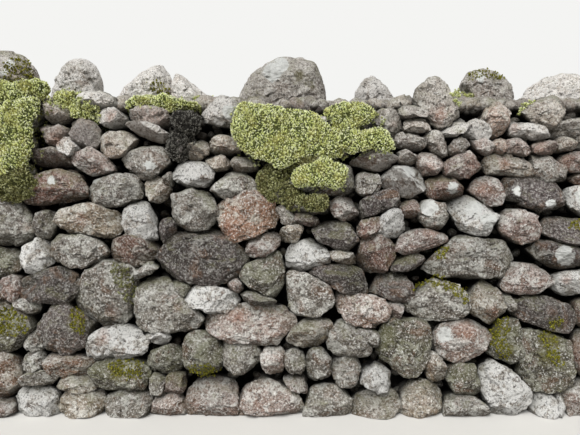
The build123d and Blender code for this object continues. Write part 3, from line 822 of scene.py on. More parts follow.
@dataclass
class Mason:
    """Raises weathered boulders in place of the frame's solids."""

    view: Viewpoint
    site: Site
    fineness: int = 4
    materials: list[bpy.types.Material] = field(init=False)
    raised: list[bpy.types.Object] = field(default_factory=list)

    def __post_init__(self) -> None:
        """Makes the stones' materials, in the order of their kinds."""
        self.materials = [GRANITES[kind].material() for kind in StoneKind]

    def boulder(
        self, mesh: bmesh.types.BMesh, solid: Solid, axes: Matrix, kind: StoneKind, wear: Wear, seed: str
    ) -> None:
        """Adds one boulder to a mesh.

        Args:
            mesh: The mesh that takes the boulder.
            solid: The frame's solid that the boulder stands for.
            axes: The boulder's bedding, with its third axis out of the wall.
            kind: The kind of stone.
            wear: How it is worn.
            seed: What its chance is drawn from.
        """
        chance = random.Random(seed)
        first_face = len(mesh.faces)
        block = self._block_out(mesh, solid, axes, wear)
        rounds = wear.rounding * (2 if block.girth > wear.fine_over else 1)
        relax(mesh, block.verts, wear.softness, rounds)
        self._break_faces(block, wear, chance)
        self._fit(block, wear)
        self._roughen(mesh, block, wear, chance)
        # A fine skin shows its facets as broken grain, and a coarse one is shaded round.
        dress_faces(mesh, first_face, kind, smooth=wear.fineness < 0)

    def _block_out(self, mesh: bmesh.types.BMesh, solid: Solid, axes: Matrix, wear: Wear) -> Block:
        """Shrinks a ball on to a solid, in the axes of its bedding.

        Args:
            mesh: The mesh that takes the ball.
            solid: The frame's solid.
            axes: Its bedding.
            wear: How the boulder is worn, which says how fine the ball is.

        Returns:
            The boulder's block.
        """
        inward = axes.inverted()
        block = Block([], axes, *box_of(inward @ corner for corner in solid.corners))
        level = self.fineness + wear.fineness
        if block.girth > wear.fine_over:
            level += 1
        elif block.girth < wear.coarse_under:
            level -= 1
        block.verts = bmesh.ops.create_icosphere(mesh, subdivisions=level, radius=1.0)["verts"]
        heart, reach = block.heart, block.reach
        tree, source, turn = solid.tree(), axes @ heart, axes.to_3x3()
        for vert in block.verts:
            arm = Vector([vert.co[i] * reach[i] for i in range(3)])
            hit = tree.ray_cast(source, (turn @ arm).normalized())[0]
            vert.co = inward @ hit if hit else heart + arm
        return block

    @staticmethod
    def _break_faces(block: Block, wear: Wear, chance: random.Random) -> None:
        """Flattens a few broken faces on a boulder.

        Args:
            block: The boulder's block.
            wear: How it is worn.
            chance: What the breaks are drawn from.
        """
        heart, reach = block.heart, block.reach
        for cut in (cut for cut in wear.breaks for _ in range(cut.count)):
            lean = chance.uniform(cut.least_lean, cut.most_lean)
            turn = chance.uniform(0, math.tau)
            way = Vector((math.sin(lean) * math.cos(turn), math.sin(lean) * math.sin(turn), math.cos(lean)))
            way = Vector([way[i] / reach[i] for i in range(3)]).normalized()
            far = max((vert.co - heart).dot(way) for vert in block.verts)
            limit = far * (1 - chance.uniform(wear.least_break, 1.0) * cut.depth)
            for vert in block.verts:
                over = (vert.co - heart).dot(way) - limit
                if over > 0:
                    vert.co -= way * over * wear.flatness

    @staticmethod
    def _fit(block: Block, wear: Wear) -> None:
        """Stretches a boulder back to the box of its solid, swollen to meet the next, its crown prouder.

        Args:
            block: The boulder's block.
            wear: How it is worn.
        """
        least, most = box_of(vert.co for vert in block.verts)
        for i in range(3):
            start, end = block.low[i] - wear.swell, block.high[i] + wear.swell
            if i == 2:
                start = block.low[i]
                end = start + (block.high[i] - start) * (1 + wear.proud)
            scale = (end - start) / (most[i] - least[i])
            for vert in block.verts:
                vert.co[i] = start + (vert.co[i] - least[i]) * scale

    def _roughen(self, mesh: bmesh.types.BMesh, block: Block, wear: Wear, chance: random.Random) -> None:
        """Roughens a boulder's skin, puts it in its place and marks what its finish reads.

        Args:
            mesh: The mesh that has the boulder.
            block: The boulder's block.
            wear: How it is worn.
            chance: What its skin and tone are drawn from.
        """
        layers = mesh.verts.layers.float
        depth, tone = layers["depth"], layers["tone"]
        patched = [(layers[name], patches) for name, patches in PATCHES.items()]
        axes, heart, reach = block.axes, block.heart, block.reach
        drift = Vector([chance.uniform(-50, 50) for _ in range(3)])
        own_tone = chance.uniform(-1, 1)
        turn, out = axes.to_3x3(), axes.col[2]
        lump = wear.lump * min(1.0, block.girth / wear.lumpy_over)
        for vert in block.verts:
            # The skin moves the way that an egg of the boulder's size faces there.
            arm = vert.co - heart
            way = Vector([arm[i] / reach[i] ** 2 for i in range(3)]).normalized()
            spot = vert.co + drift
            push = lump * noise.fractal(spot * wear.lumps, 1.0, 2.1, 3)
            push += wear.pit * noise.fractal(spot * wear.pits, 0.8, 2.2, 2)
            flaked = self._flaked(spot, wear.flakes, wear.flake_lean)
            chipped = self._flaked(spot, wear.chips, wear.flake_lean)
            push += wear.flake * (flaked + wear.chip_share * chipped)
            push = min(push, wear.side_push + wear.crown_push * max(0.0, way.z) ** 2)
            # The depth out of the face is marked for the finish, which paints shade into the joints from it.
            vert[depth] = vert.co.z
            vert[tone] = own_tone
            vert.co = axes @ vert.co + turn @ way * push
            # The back is marked as the front is, turned round, and the ends have no patches.
            x, y = self.view.pixel(BEHIND @ vert.co if out.y > 0.5 else vert.co)
            for layer, patches in patched:
                vert[layer] = self._reach_of(patches, x, y) if abs(out.x) < 0.5 else CLEAR

    @staticmethod
    def _flaked(spot: Vector, rate: float, lean: float) -> float:
        """Finds the height of a broken surface, whose flakes each lean their own way.

        Args:
            spot: The place on the stone.
            rate: Flakes in a metre.
            lean: How steep they are.

        Returns:
            The height before it is scaled, in metres.
        """
        # Each flake draws its lean from its own seat, spread out so that neighbours differ.
        seat = noise.voronoi(spot * rate)[1][0]
        slope = noise.noise_vector(seat * 7.3) * lean
        return (spot * rate - seat).dot(slope) / rate

    def _reach_of(self, patches: tuple[Patch, ...], x: float, y: float) -> float:
        """How far a pixel lies outside the nearest patch, in metres on the face."""
        least = min(math.hypot(x - patch.x, y - patch.y) - patch.radius for patch in patches)
        return least * self.view.square

    def raise_stones(self, node: bpy.types.Object, axes: Matrix, kinds: str, wear: Wear) -> None:
        """Raises every boulder of a node as one piece that stands for the node.

        Args:
            node: The frame's node.
            axes: The bedding of its stones.
            kinds: The stones' kinds from left to right, one letter each.
            wear: How the stones are worn.
        """
        mesh = bmesh.new()
        for name in MARKS:
            mesh.verts.layers.float.new(name)
        for number, solid in enumerate(solids_of(node)):
            kind = StoneKind(kinds[number % len(kinds)])
            self.boulder(mesh, solid, axes, kind, wear, f"{node.name} {number}")
        self.site.hold_in(mesh)
        piece = finish_piece(f"{node.name}_stones", mesh, self.materials)
        self.raised.append(piece)
        self.site.place(piece, node.name)

    def surface(self) -> BVHTree:
        """Gathers the faces of every stone raised so far.

        Returns:
            A search tree over them.
        """
        points: list[Vector] = []
        faces: list[tuple[int, ...]] = []
        for piece in self.raised:
            start = len(points)
            points += [vert.co.copy() for vert in piece.data.vertices]
            faces += [tuple(start + number for number in face.vertices) for face in piece.data.polygons]
        return BVHTree.FromPolygons(points, faces, all_triangles=True)


@dataclass
class Rubble:
    """Small stones packed behind the faces, seen dark between the boulders, where the finish paints them in
    shade by the depth that each is marked with.

    They are laid on a raster of pixels wherever the photograph looks into a gap, and over the top.
    """

    view: Viewpoint
    site: Site
    mason: Mason
    step: float = 11.0
    left: float = -50.0
    width: float = 680.0
    top: float = 84.0
    height: float = 330.0
    gap_depth: float = 0.05
    level: float = -0.062
    half_length: float = 1.26
    lowest: float = 0.02
    highest: float = 1.22
    top_stones: int = 330
    top_half_length: float = 1.40
    top_half_width: float = 0.15
    top_level: float = 1.236
    # Depths that the core, the stones in the gaps and those on top are marked with: the finish paints shade
    # by them, black on the core and dark on the stones in the gaps.
    core_depth: float = -0.14
    stone_depth: float = -0.028
    top_depth: float = 0.01
    seed: int = 31

    def fill(self, surface: BVHTree) -> None:
        """Raises the hearting, with a small stone wherever a gap between the boulders shows it.

        Args:
            surface: The boulders' surface.
        """
        mesh = welded(self.site.nodes["hearting"])
        for name in MARKS:
            mesh.verts.layers.float.new(name)
        self._mark(mesh, mesh.verts, self.core_depth)
        for face in mesh.faces:
            face.material_index = StoneKind.DARK.number
        chance = random.Random(self.seed)
        for turn in SIDES:
            for row in range(int(self.height / self.step)):
                for column in range(int(self.width / self.step)):
                    x = self.left + (column + chance.uniform(0.1, 0.9)) * self.step
                    y = self.top + (row + chance.uniform(0.1, 0.9)) * self.step
                    spot = self._seat(surface, turn, x, y, chance)
                    if spot is not None:
                        self._stone(mesh, spot, chance, self.stone_depth)
        for _ in range(self.top_stones):
            along = chance.uniform(-self.top_half_length, self.top_half_length)
            across = chance.uniform(-self.top_half_width, self.top_half_width)
            scale = chance.uniform(1.5, 2.4)
            self._stone(mesh, Vector((along, across, self.top_level)), chance, self.top_depth, scale)
        self.site.hold_in(mesh)
        self.site.place(finish_piece("hearting_rubble", mesh, self.mason.materials), "hearting")

    def _seat(
        self, surface: BVHTree, turn: Matrix, x: float, y: float, chance: random.Random
    ) -> Vector | None:
        """Finds where a small stone lies behind a pixel.

        Args:
            surface: The boulders' surface.
            turn: The side of the wall, as a turn of the front.
            x: The pixel's place across.
            y: The pixel's place down.
            chance: What its depth is drawn from.

        Returns:
            The stone's place, or None where a boulder is in front or the wall ends.
        """
        eye, foot = turn @ self.view.eye, turn @ self.view.foot
        out, way = turn.to_3x3() @ self.view.out, turn.to_3x3() @ self.view.ray(x, y)
        hit = surface.ray_cast(eye, way)[0]
        if hit and (hit - foot).dot(out) > -self.gap_depth:
            return None
        reach = (self.level - (eye - foot).dot(out)) / way.dot(out)
        spot = eye + way * reach - out * chance.uniform(0.0, 0.02)
        held = self.lowest <= spot.z <= self.highest and abs(spot.x) <= self.half_length
        return spot if held else None

    @staticmethod
    def _mark(mesh: bmesh.types.BMesh, verts: Iterable[bmesh.types.BMVert], depth: float) -> None:
        """Marks vertices as plain stone at one depth, clear of every patch.

        Args:
            mesh: The mesh that they belong to.
            verts: The vertices.
            depth: The depth that they are marked with, which sets their painted shade.
        """
        values = {"depth": depth, **dict.fromkeys(PATCHES, CLEAR), "tone": 0.0}
        marks = [(mesh.verts.layers.float[name], value) for name, value in values.items()]
        for vert in verts:
            for layer, value in marks:
                vert[layer] = value

    def _stone(
        self,
        mesh: bmesh.types.BMesh,
        spot: Vector,
        chance: random.Random,
        depth: float,
        scale: float = 1.0,
    ) -> None:
        """Adds one small stone, flattened and a little lumpy.

        Args:
            mesh: The mesh that takes it.
            spot: Its middle.
            chance: What its size, turn, lumps and kind are drawn from.
            depth: The depth that it is marked with, which sets its painted shade.
            scale: Its size beside a stone in a gap.
        """
        size = Vector([chance.uniform(0.012, 0.026), 0.018, chance.uniform(0.010, 0.020)]) * scale
        turn = Matrix.Rotation(chance.uniform(-0.6, 0.6), 3, "Y")
        drift = Vector([chance.uniform(-9, 9) for _ in range(3)])
        first_face = len(mesh.faces)
        verts = bmesh.ops.create_icosphere(mesh, subdivisions=2, radius=1.0)["verts"]
        for vert in verts:
            swell = 1 + 0.35 * noise.noise(vert.co * 1.2 + drift)
            vert.co = spot + turn @ Vector([vert.co[i] * size[i] * swell for i in range(3)])
        self._mark(mesh, verts, depth)
        kind = chance.choice((StoneKind.GREY, StoneKind.RED, StoneKind.BUFF, StoneKind.DARK))
        dress_faces(mesh, first_face, kind, smooth=True)


@dataclass(frozen=True)
class MossFinish:
    """Woolly fringe moss: dense cushions of shoots, pale at their hair points and dark between them, the
    dark partly the moss's own and partly painted shade.
    """

    name: str
    # The colour at the base of the shoots, which is also their painted shade.
    deep: str
    middle: str
    tip: str
    ripe: str
    roughness: float = 0.95

    def material(self) -> bpy.types.Material:
        """Makes the moss.

        Returns:
            A material that reads the piece's Object coordinates and how near each corner is to a tip.
        """
        made = blank_material(self.name)
        tree = made.node_tree
        place = add_node(tree, "ShaderNodeTexCoord").outputs["Object"]
        # Ripe moss in patches of a few fingers' breadth, and shoots of 9 mm, drawn coarse to show.
        patterns = {
            "patches": {"Scale": per_metre(62), "Detail": 5.0, "Roughness": 0.6},
            "shoots": {"Scale": per_metre(8.7), "Detail": 3.0, "Roughness": 0.7},
        }
        fields = {
            name: add_node(tree, "ShaderNodeTexNoise", {"Vector": place, **feeds}).outputs["Fac"]
            for name, feeds in patterns.items()
        }
        fields["tip"] = add_node(tree, "ShaderNodeAttribute", attribute_name="tip").outputs["Fac"]
        colour: object = linear(self.deep)
        for coat in (
            Coat("tip", 0.0, 0.55, 1.0, self.middle),
            Coat("tip", 0.50, 0.88, 1.0, self.tip),
            Coat("patches", 0.45, 0.70, 0.45, self.ripe),
            Coat("shoots", 0.52, 0.38, 0.72, self.deep),
        ):
            colour = coat.over(tree, colour, fields)
        feeds = {"Height": fields["shoots"], "Strength": 0.8, "Distance": 0.006}
        bump = add_node(tree, "ShaderNodeBump", feeds).outputs[0]
        feeds = {
            "Base Color": colour,
            "Roughness": self.roughness,
            "Specular IOR Level": 0.15,
            "Normal": bump,
        }
        surface = add_node(tree, "ShaderNodeBsdfPrincipled", feeds).outputs[0]
        add_node(tree, "ShaderNodeOutputMaterial", {"Surface": surface})
        return made


class MossKind(Enum):
    """Moods of the moss, each with its finish."""

    # Well watered: yellow-green, frosted by white hair points.
    BRIGHT = MossFinish("bright_fringe_moss", "#1a2208", "#e2eb92", "#fffff2", "#c2ba68")
    # In the shade below the cushions: olive and brown.
    DULL = MossFinish("dull_fringe_moss", "#262713", "#85864f", "#cfd0a6", "#6b5d38")
    # Dried out and dead: black with grey ends.
    DARK = MossFinish("blackened_moss", "#131210", "#47443e", "#a3a199", "#2b2824")
    # Small cushions on bare stone: mustard.
    OCHRE = MossFinish("ochre_cushion_moss", "#22220a", "#8c8a2a", "#cdc85c", "#6a5a1e")

    @property
    def number(self) -> int:
        """Number of the mood's material on a piece."""
        return list(MossKind).index(self)


class MossDepth(Enum):
    """How deep loose moss lies: its thickness in metres and the size of its shoots."""

    DEEP = (0.022, 1.0)
    FRINGE = (0.012, 0.9)
    FILM = (0.008, 0.72)


@dataclass(frozen=True)
class Growth:
    """Loose moss over the stones that show within an outline of the photograph, in pixels.

    Its edge wanders by up to fray pixels, with fray_rate turns of the wander to a pixel.
    """

    outline: tuple[tuple[float, float], ...]
    kind: MossKind
    depth: MossDepth = MossDepth.DEEP
    cover: float = 1.0
    spacing: float = 1.5
    margin: float = 3.0
    fray: float = 3.5
    fray_rate: float = 0.13

    def spots(self, chance: random.Random) -> list[tuple[float, float]]:
        """Draws scattered pixels within the outline, whose edge is ragged.

        Args:
            chance: What they are drawn from.

        Returns:
            The pixels.
        """
        left, right = min(corner[0] for corner in self.outline), max(corner[0] for corner in self.outline)
        top, bottom = min(corner[1] for corner in self.outline), max(corner[1] for corner in self.outline)
        area = (right - left + 2 * self.margin) * (bottom - top + 2 * self.margin)
        found = []
        for _ in range(int(area / self.spacing**2)):
            x = chance.uniform(left - self.margin, right + self.margin)
            y = chance.uniform(top - self.margin, bottom + self.margin)
            shift = self.fray * noise.noise(Vector((x * self.fray_rate, y * self.fray_rate, 0)))
            if self.holds(x + shift, y - shift) and chance.random() < self.cover:
                found.append((x, y))
        return found

    def holds(self, x: float, y: float) -> bool:
        """Tells whether a pixel lies within the outline.

        Args:
            x: The pixel's place across.
            y: The pixel's place down.

        Returns:
            Whether a line from it crosses the outline an odd number of times.
        """
        inside = False
        last = self.outline[-1]
        for corner in self.outline:
            if (corner[1] > y) != (last[1] > y):
                cut = (last[0] - corner[0]) * (y - corner[1]) / (last[1] - corner[1]) + corner[0]
                inside ^= x < cut
            last = corner
        return inside


@dataclass(frozen=True)
class Tuft:
    """One shoot of moss: a drooping star, whose notches are lifted towards its pale tip."""

    points: int = 4
    radius: float = 0.0069
    height: float = 0.0112
    notch: float = 0.42
    lift: float = 0.35

    def shape(self) -> tuple[list[Vector], list[tuple[int, ...]]]:
        """Makes the shoot once, to be copied.

        Returns:
            Its corners, the last of them the tip, and its faces.
        """
        mesh = bmesh.new()
        bmesh.ops.create_cone(
            mesh,
            cap_ends=False,
            segments=self.points * 2,
            radius1=self.radius,
            radius2=self.radius * 0.01,
            depth=self.height,
        )
        bmesh.ops.remove_doubles(mesh, verts=mesh.verts, dist=self.radius * 0.1)
        ring = sorted((v for v in mesh.verts if v.co.z < 0), key=lambda v: math.atan2(v.co.y, v.co.x))
        for vert in ring[::2]:
            vert.co.x *= self.notch
            vert.co.y *= self.notch
            vert.co.z += self.height * self.lift
        ordered = ring + [v for v in mesh.verts if v.co.z >= self.height * 0.4]
        number = {vert: i for i, vert in enumerate(ordered)}
        corners = [vert.co.copy() for vert in ordered]
        faces = [tuple(number[vert] for vert in face.verts) for face in mesh.faces]
        mesh.free()
        return corners, faces


@dataclass
class Sward:
    """Moss as it grows: corners, faces, how near each corner is to a tip, and each face's mood."""

    points: list[Vector] = field(default_factory=list)
    polygons: list[tuple[int, ...]] = field(default_factory=list)
    tips: list[float] = field(default_factory=list)
    numbers: list[int] = field(default_factory=list)


@dataclass
class Moss:
    """Grows cushions of moss in place of the frame's, and loose moss over the stones.

    Lumps, ripples and waves are counted in a metre. Shoots stand where a cushion looks out of the wall
    or up, and grow out of it, towards the light before the wall and upwards by the shares given.
    """

    view: Viewpoint
    site: Site
    shoot_gap: float = 0.0077
    smallest: float = 0.75
    largest: float = 1.35
    sway: float = 0.45
    dullest_tip: float = 0.55
    longest_edge: float = 0.016
    most_splits: int = 8
    cushion_rounds: int = 14
    cushion_factor: float = 0.5
    lump: float = 0.020
    lumps: float = 14.0
    ripple: float = 0.012
    ripples: float = 40.0
    thickening: float = 0.007
    wave: float = 0.05
    waves: float = 18.0
    core_tip: float = 0.05
    notch_tip: float = 0.8
    least_out: float = -0.15
    least_up: float = 0.3
    cushion_up: float = 0.35
    loose_out: float = 0.8
    loose_forward: float = 0.4
    loose_up: float = 0.5
    clump_depth: float = 0.045
    farthest: float = 2.7
    clearance: float = 0.014
    bed_of_cope: float = 1.24
    materials: list[bpy.types.Material] = field(init=False)
    corners: list[Vector] = field(init=False)
    faces: list[tuple[int, ...]] = field(init=False)

    def __post_init__(self) -> None:
        """Makes the moss's materials and its shoot."""
        self.materials = [kind.value.material() for kind in MossKind]
        self.corners, self.faces = Tuft().shape()

    def plant(
        self,
        sward: Sward,
        spot: Vector,
        way: Vector,
        kind: MossKind,
        chance: random.Random,
        scale: float = 1.0,
    ) -> None:
        """Plants one shoot.

        Args:
            sward: What it joins.
            spot: Where it is rooted.
            way: The way that it grows.
            kind: Its mood.
            chance: What its size and turn are drawn from.
            scale: Its size beside a full shoot.
        """
        size = chance.uniform(self.smallest, self.largest) * scale
        lean = Vector([chance.uniform(-self.sway, self.sway) for _ in range(3)])
        spin = Matrix.Rotation(chance.uniform(0, math.tau), 3, "Z")
        turn = (way + lean).to_track_quat("Z", "Y").to_matrix() @ spin
        start = len(sward.points)
        bright = chance.uniform(self.dullest_tip, 1.0)
        # Notches and points take turns round the rim, the notches dark with the moss's base colour and
        # painted shade, the points pale, and the tip comes last.
        rim = range(len(self.corners) - 1)
        sward.tips += [0.0 if index % 2 == 0 else self.notch_tip * bright for index in rim]
        sward.tips.append(bright)
        sward.points += [spot + turn @ (corner * size) for corner in self.corners]
        sward.polygons += [tuple(start + corner for corner in polygon) for polygon in self.faces]
        sward.numbers += [kind.number] * len(self.faces)

    def cushion(self, node: bpy.types.Object, dull_below: float, seed: int) -> None:
        """Grows a cushion in place of a node.

        Args:
            node: The frame's node.
            dull_below: Height below which the moss is dull.
            seed: What its chance is drawn from.
        """
        mesh = welded(node)
        bmesh.ops.triangulate(mesh, faces=mesh.faces)
        # The rounds are capped, so that the splitting is sure to end.
        for _ in range(self.most_splits):
            long = [edge for edge in mesh.edges if edge.calc_length() > self.longest_edge]
            if not long:
                break
            bmesh.ops.subdivide_edges(mesh, edges=long, cuts=1)
            bmesh.ops.triangulate(mesh, faces=mesh.faces)
        relax(mesh, mesh.verts, self.cushion_factor, self.cushion_rounds)
        piece = self._grow(mesh, f"{node.name}_cushion", MossKind.BRIGHT, random.Random(seed), dull_below)
        self.site.place(piece, node.name)

    def clump(self, name: str, patch: Patch, kind: MossKind, seed: int) -> None:
        """Grows a clump that no node stands for, stuck in between the stones.

        Args:
            name: The piece's name.
            patch: Where it shows in the photograph.
            kind: The moss's mood.
            seed: What its chance is drawn from.
        """
        view = self.view
        mesh = bmesh.new()
        reach = patch.radius * view.square
        size = Vector((reach * patch.stretch, reach / patch.stretch, self.clump_depth))
        rise = (view.ground_line - patch.y) * view.square
        seat = view.foot + view.up * rise + view.out * patch.proud
        seat.x = (patch.x - view.width / 2) * view.square
        axes = bedding(seat, view.up, view.out)
        for vert in bmesh.ops.create_icosphere(mesh, subdivisions=5, radius=1.0)["verts"]:
            vert.co = axes @ Vector([vert.co[i] * size[i] for i in range(3)])
        self.site.add(self._grow(mesh, name, kind, random.Random(seed)), "moss_crest")

    def _grow(
        self,
        mesh: bmesh.types.BMesh,
        name: str,
        kind: MossKind,
        chance: random.Random,
        dull_below: float = 0.0,
    ) -> bpy.types.Object:
        """Makes a smooth mesh lumpy and covers it with shoots.

        Args:
            mesh: The mesh, which is freed.
            name: The piece's name.
            kind: The moss's mood.
            chance: What the shoots are drawn from.
            dull_below: Height below which the moss is dull.

        Returns:
            The piece.
        """
        mesh.normal_update()
        for vert in mesh.verts:
            lump = self.lump * noise.noise(vert.co * self.lumps)
            lump += self.ripple * noise.noise(vert.co * self.ripples)
            vert.co += vert.normal * (lump + self.thickening)
        mesh.normal_update()
        mesh.verts.index_update()
        sward = Sward([vert.co.copy() for vert in mesh.verts])
        # The cushion under the shoots takes nearly the deep colour: its own dark base and painted shade.
        sward.tips = [self.core_tip] * len(sward.points)
        rate = 1 / self.shoot_gap**2
        moods = []
        for face in mesh.faces:
            middle = face.calc_center_median()
            dull = middle.z + self.wave * noise.noise(middle * self.waves) < dull_below
            moods.append(MossKind.DULL if dull else kind)
            sward.polygons.append(tuple(vert.index for vert in face.verts))
            sward.numbers.append(moods[-1].number)
        for face, mood in zip(mesh.faces, moods):
            shown = face.normal.dot(self.view.out) > self.least_out or face.normal.z > self.least_up
            count = int(face.calc_area() * rate + chance.random()) if shown else 0
            for _ in range(count):
                shares = [chance.random() + 1e-6 for _ in range(3)]
                total = sum(shares)
                spot = sum((v.co * s for v, s in zip(face.verts, shares)), Vector()) / total
                self.plant(sward, spot, face.normal + self.cushion_up * UPWARD, mood, chance)
        mesh.free()
        return self._finish(name, sward)

    def loose(self, growths: tuple[Growth, ...], surface: BVHTree, seed: int) -> None:
        """Grows loose moss over the stones, in front and again behind.

        Args:
            growths: Where it grows.
            surface: The stones' surface.
            seed: What its chance is drawn from.
        """
        sward = Sward()
        chance = random.Random(seed)
        for turn in SIDES:
            eye = turn @ self.view.eye
            for growth in growths:
                thickness, size = growth.depth.value
                for x, y in growth.spots(chance):
                    way = turn.to_3x3() @ self.view.ray(x, y)
                    spot, normal = surface.ray_cast(eye, way)[:2]
                    hidden = spot is None or (spot - eye).length > self.farthest
                    # The cope is seen past from behind, so moss stays off it there.
                    if hidden or (turn is BEHIND and spot.z > self.bed_of_cope):
                        continue
                    up = normal * self.loose_out - way * self.loose_forward + self.loose_up * UPWARD
                    root = spot + normal * thickness * chance.random()
                    if abs(root.y) < self.site.high.y - self.clearance:
                        self.plant(sward, root, up, growth.kind, chance, size)
        self.site.add(self._finish("loose_moss", sward), "moss_crest")

    def _finish(self, name: str, sward: Sward) -> bpy.types.Object:
        """Makes a piece of the planted shoots.

        Args:
            name: The piece's name.
            sward: The shoots and what they stand on.

        Returns:
            The piece.
        """
        data = bpy.data.meshes.new(name)
        data.from_pydata(sward.points, [], sward.polygons)
        data.attributes.new("tip", "FLOAT", "POINT").data.foreach_set("value", sward.tips)
        piece = make_piece(data, self.materials)
        data.polygons.foreach_set("material_index", sward.numbers)
        return piece


# Outlines of the loose moss, in pixels, by its mood and how it grows.
BRIGHT_FRINGE = (
    ((-2, 78), (14, 82), (36, 80), (52, 82), (50, 92), (34, 100), (14, 106), (-2, 112)),
    ((40, 102), (60, 96), (84, 98), (100, 108), (101, 121), (92, 122), (78, 112), (60, 106)),
    ((62, 92), (72, 90), (80, 98), (74, 104), (64, 100)),
    ((120, 110), (126, 98), (146, 94), (178, 98), (212, 98), (206, 108), (186, 112), (160, 106), (136, 106)),
    ((450, 92), (462, 90), (474, 94), (472, 104), (456, 104)),
)
DULL_FRINGE = (
    ((258, 162), (294, 166), (296, 190), (294, 206), (276, 200), (262, 184)),
    ((0, 184), (26, 186), (38, 178), (34, 194), (14, 204), (0, 200)),
    ((290, 190), (302, 190), (300, 210), (292, 206)),
)
BLACK_FRINGE = (
    ((171, 120), (184, 112), (198, 114), (202, 128), (196, 142), (184, 157), (172, 156), (169, 140)),
)
RIM_OF_CUSHIONS = (
    ((228, 106), (248, 98), (330, 108), (346, 158), (300, 172), (262, 168), (238, 154)),
    ((322, 104), (376, 104), (400, 152), (378, 156), (344, 160), (334, 140)),
    ((290, 164), (318, 156), (350, 170), (344, 190), (304, 192)),
)
RIM_OF_BANK = (
    ((36, 100), (52, 104), (46, 130), (44, 160), (40, 186), (32, 194), (30, 150)),
)
OCHRE_FILM = (
    ((434, 247), (441, 243), (448, 247), (446, 257), (437, 259)),
    ((412, 290), (420, 278), (440, 274), (462, 282), (470, 298), (464, 304), (452, 292), (430, 284)),
    ((104, 366), (122, 358), (144, 362), (142, 378), (118, 382)),
    ((570, 222), (580, 220), (580, 230), (568, 230)),
    ((538, 334), (546, 330), (560, 340), (558, 352), (564, 366), (554, 368), (546, 352)),
    ((548, 322), (556, 318), (563, 322), (558, 327), (550, 327)),
    ((490, 332), (496, 318), (508, 318), (512, 328), (506, 336), (512, 350), (508, 360), (494, 352)),
    ((68, 310), (76, 306), (86, 316), (84, 336), (74, 332), (70, 322)),
    ((0, 310), (12, 304), (24, 316), (28, 330), (14, 340), (0, 332)),
    ((2, 60), (18, 56), (30, 64), (34, 78), (20, 84), (4, 82)),
    ((146, 82), (158, 78), (168, 86), (170, 94), (156, 94)),
    ((466, 74), (480, 70), (496, 70), (508, 78), (500, 80), (484, 76), (470, 82)),
    ((188, 366), (206, 362), (222, 368), (214, 378), (194, 376)),
)
DULL_FILM = (
    ((108, 262), (128, 266), (136, 284), (134, 306), (122, 298), (112, 276)),
    ((513, 98), (524, 100), (522, 106), (512, 105)),
)
LOOSE_MOSS = (
    *(Growth(outline, MossKind.BRIGHT) for outline in BRIGHT_FRINGE),
    *(Growth(outline, MossKind.DULL) for outline in DULL_FRINGE),
    *(Growth(outline, MossKind.DARK) for outline in BLACK_FRINGE),
    *(Growth(outline, MossKind.BRIGHT, MossDepth.FRINGE, 0.55, 2.4) for outline in RIM_OF_CUSHIONS),
    *(Growth(outline, MossKind.DULL, MossDepth.FRINGE, 0.5, 2.4) for outline in RIM_OF_BANK),
    *(Growth(outline, MossKind.OCHRE, MossDepth.FILM, 0.72) for outline in OCHRE_FILM),
    *(Growth(outline, MossKind.DULL, MossDepth.FILM, 0.6) for outline in DULL_FILM),
)
MOSS_CLUMPS = (
    (Patch(180, 143, 11, 0.9, 0.0), MossKind.DARK),
    (Patch(275, 184, 17, 0.9, 0.0), MossKind.DULL),
    (Patch(8, 98, 14, 1.3, 0.02), MossKind.BRIGHT),
    (Patch(32, 92, 12, 1.4, 0.01), MossKind.BRIGHT),
    (Patch(347, 139, 11, 1.0, 0.03), MossKind.BRIGHT),
    (Patch(308, 162, 12, 1.5, 0.03), MossKind.DULL),
    (Patch(14, 190, 13, 1.5, 0.01), MossKind.DULL),
    (Patch(290, 196, 12, 0.9, 0.0), MossKind.DULL),
    (Patch(188, 125, 11, 1.1, 0.0), MossKind.DARK),
)

# Kinds of the stones of each course and of each end, from left to right, one letter a stone.
COURSES = {
    "footings": "KPBGKKKGBBGPPPK",
    "course_1": "OGGOBMGMRMGKGKGGPBM",
    "course_2": "MGGDPPGKBGGMKMMR",
    "course_3": "GKDGGMPKGGKKGBGDR",
    "course_4": "MPGRDMKPDBRDDGKDPG",
    "course_5": "GGBPDGOGBRMDKRPKGPKD",
    "course_6": "MRGBPGMGGDWRRKDP",
    "course_7": "MRPKBGGDBBBMMMMWGKRBGRR",
    "shoulder": "MRMRBDPPWKBMMMPMGGGGBGPGPKOKPRBGG",
}
ENDS = {
    "left_end_ties": "GRBG",
    "left_end_pairs": "KGPGRBGK",
    "right_end_ties": "BGKP",
    "right_end_pairs": "GKRGBGPM",
}
# Kinds of the cope's boulders, at the front edge and on the middle of the top.
EDGE_OF_COPE = {
    "cope_bridge_stone": StoneKind.PALE,
    "cope_grey_rose": StoneKind.GREY,
    "cope_rusty_stem": StoneKind.RUSTY,
    "cope_beige_front": StoneKind.BUFF,
}
BACK_OF_COPE = {
    "cope_left_outer": StoneKind.GREY,
    "cope_mossy_end": StoneKind.GREY,
    "cope_pale_egg": StoneKind.PALE,
    "cope_split_peak": StoneKind.PALE,
    "cope_thin_fin": StoneKind.PALE,
    "cope_great_boulder": StoneKind.GREY,
    "cope_pale_nose": StoneKind.PALE,
    "cope_mossy_block": StoneKind.MOSSY,
    "cope_capped_boulder": StoneKind.GREY,
    "cope_long_grey": StoneKind.PALE,
    "cope_right_outer": StoneKind.GREY,
}
# Cushions of moss, each with the height below which it is dull.
CUSHIONS = {
    "moss_left_bank": 0.98,
    "moss_centre_mound": 0.0,
    "moss_right_cushions": 0.0,
    "moss_centre_lobes": 0.89,
    "moss_crest": 0.0,
}


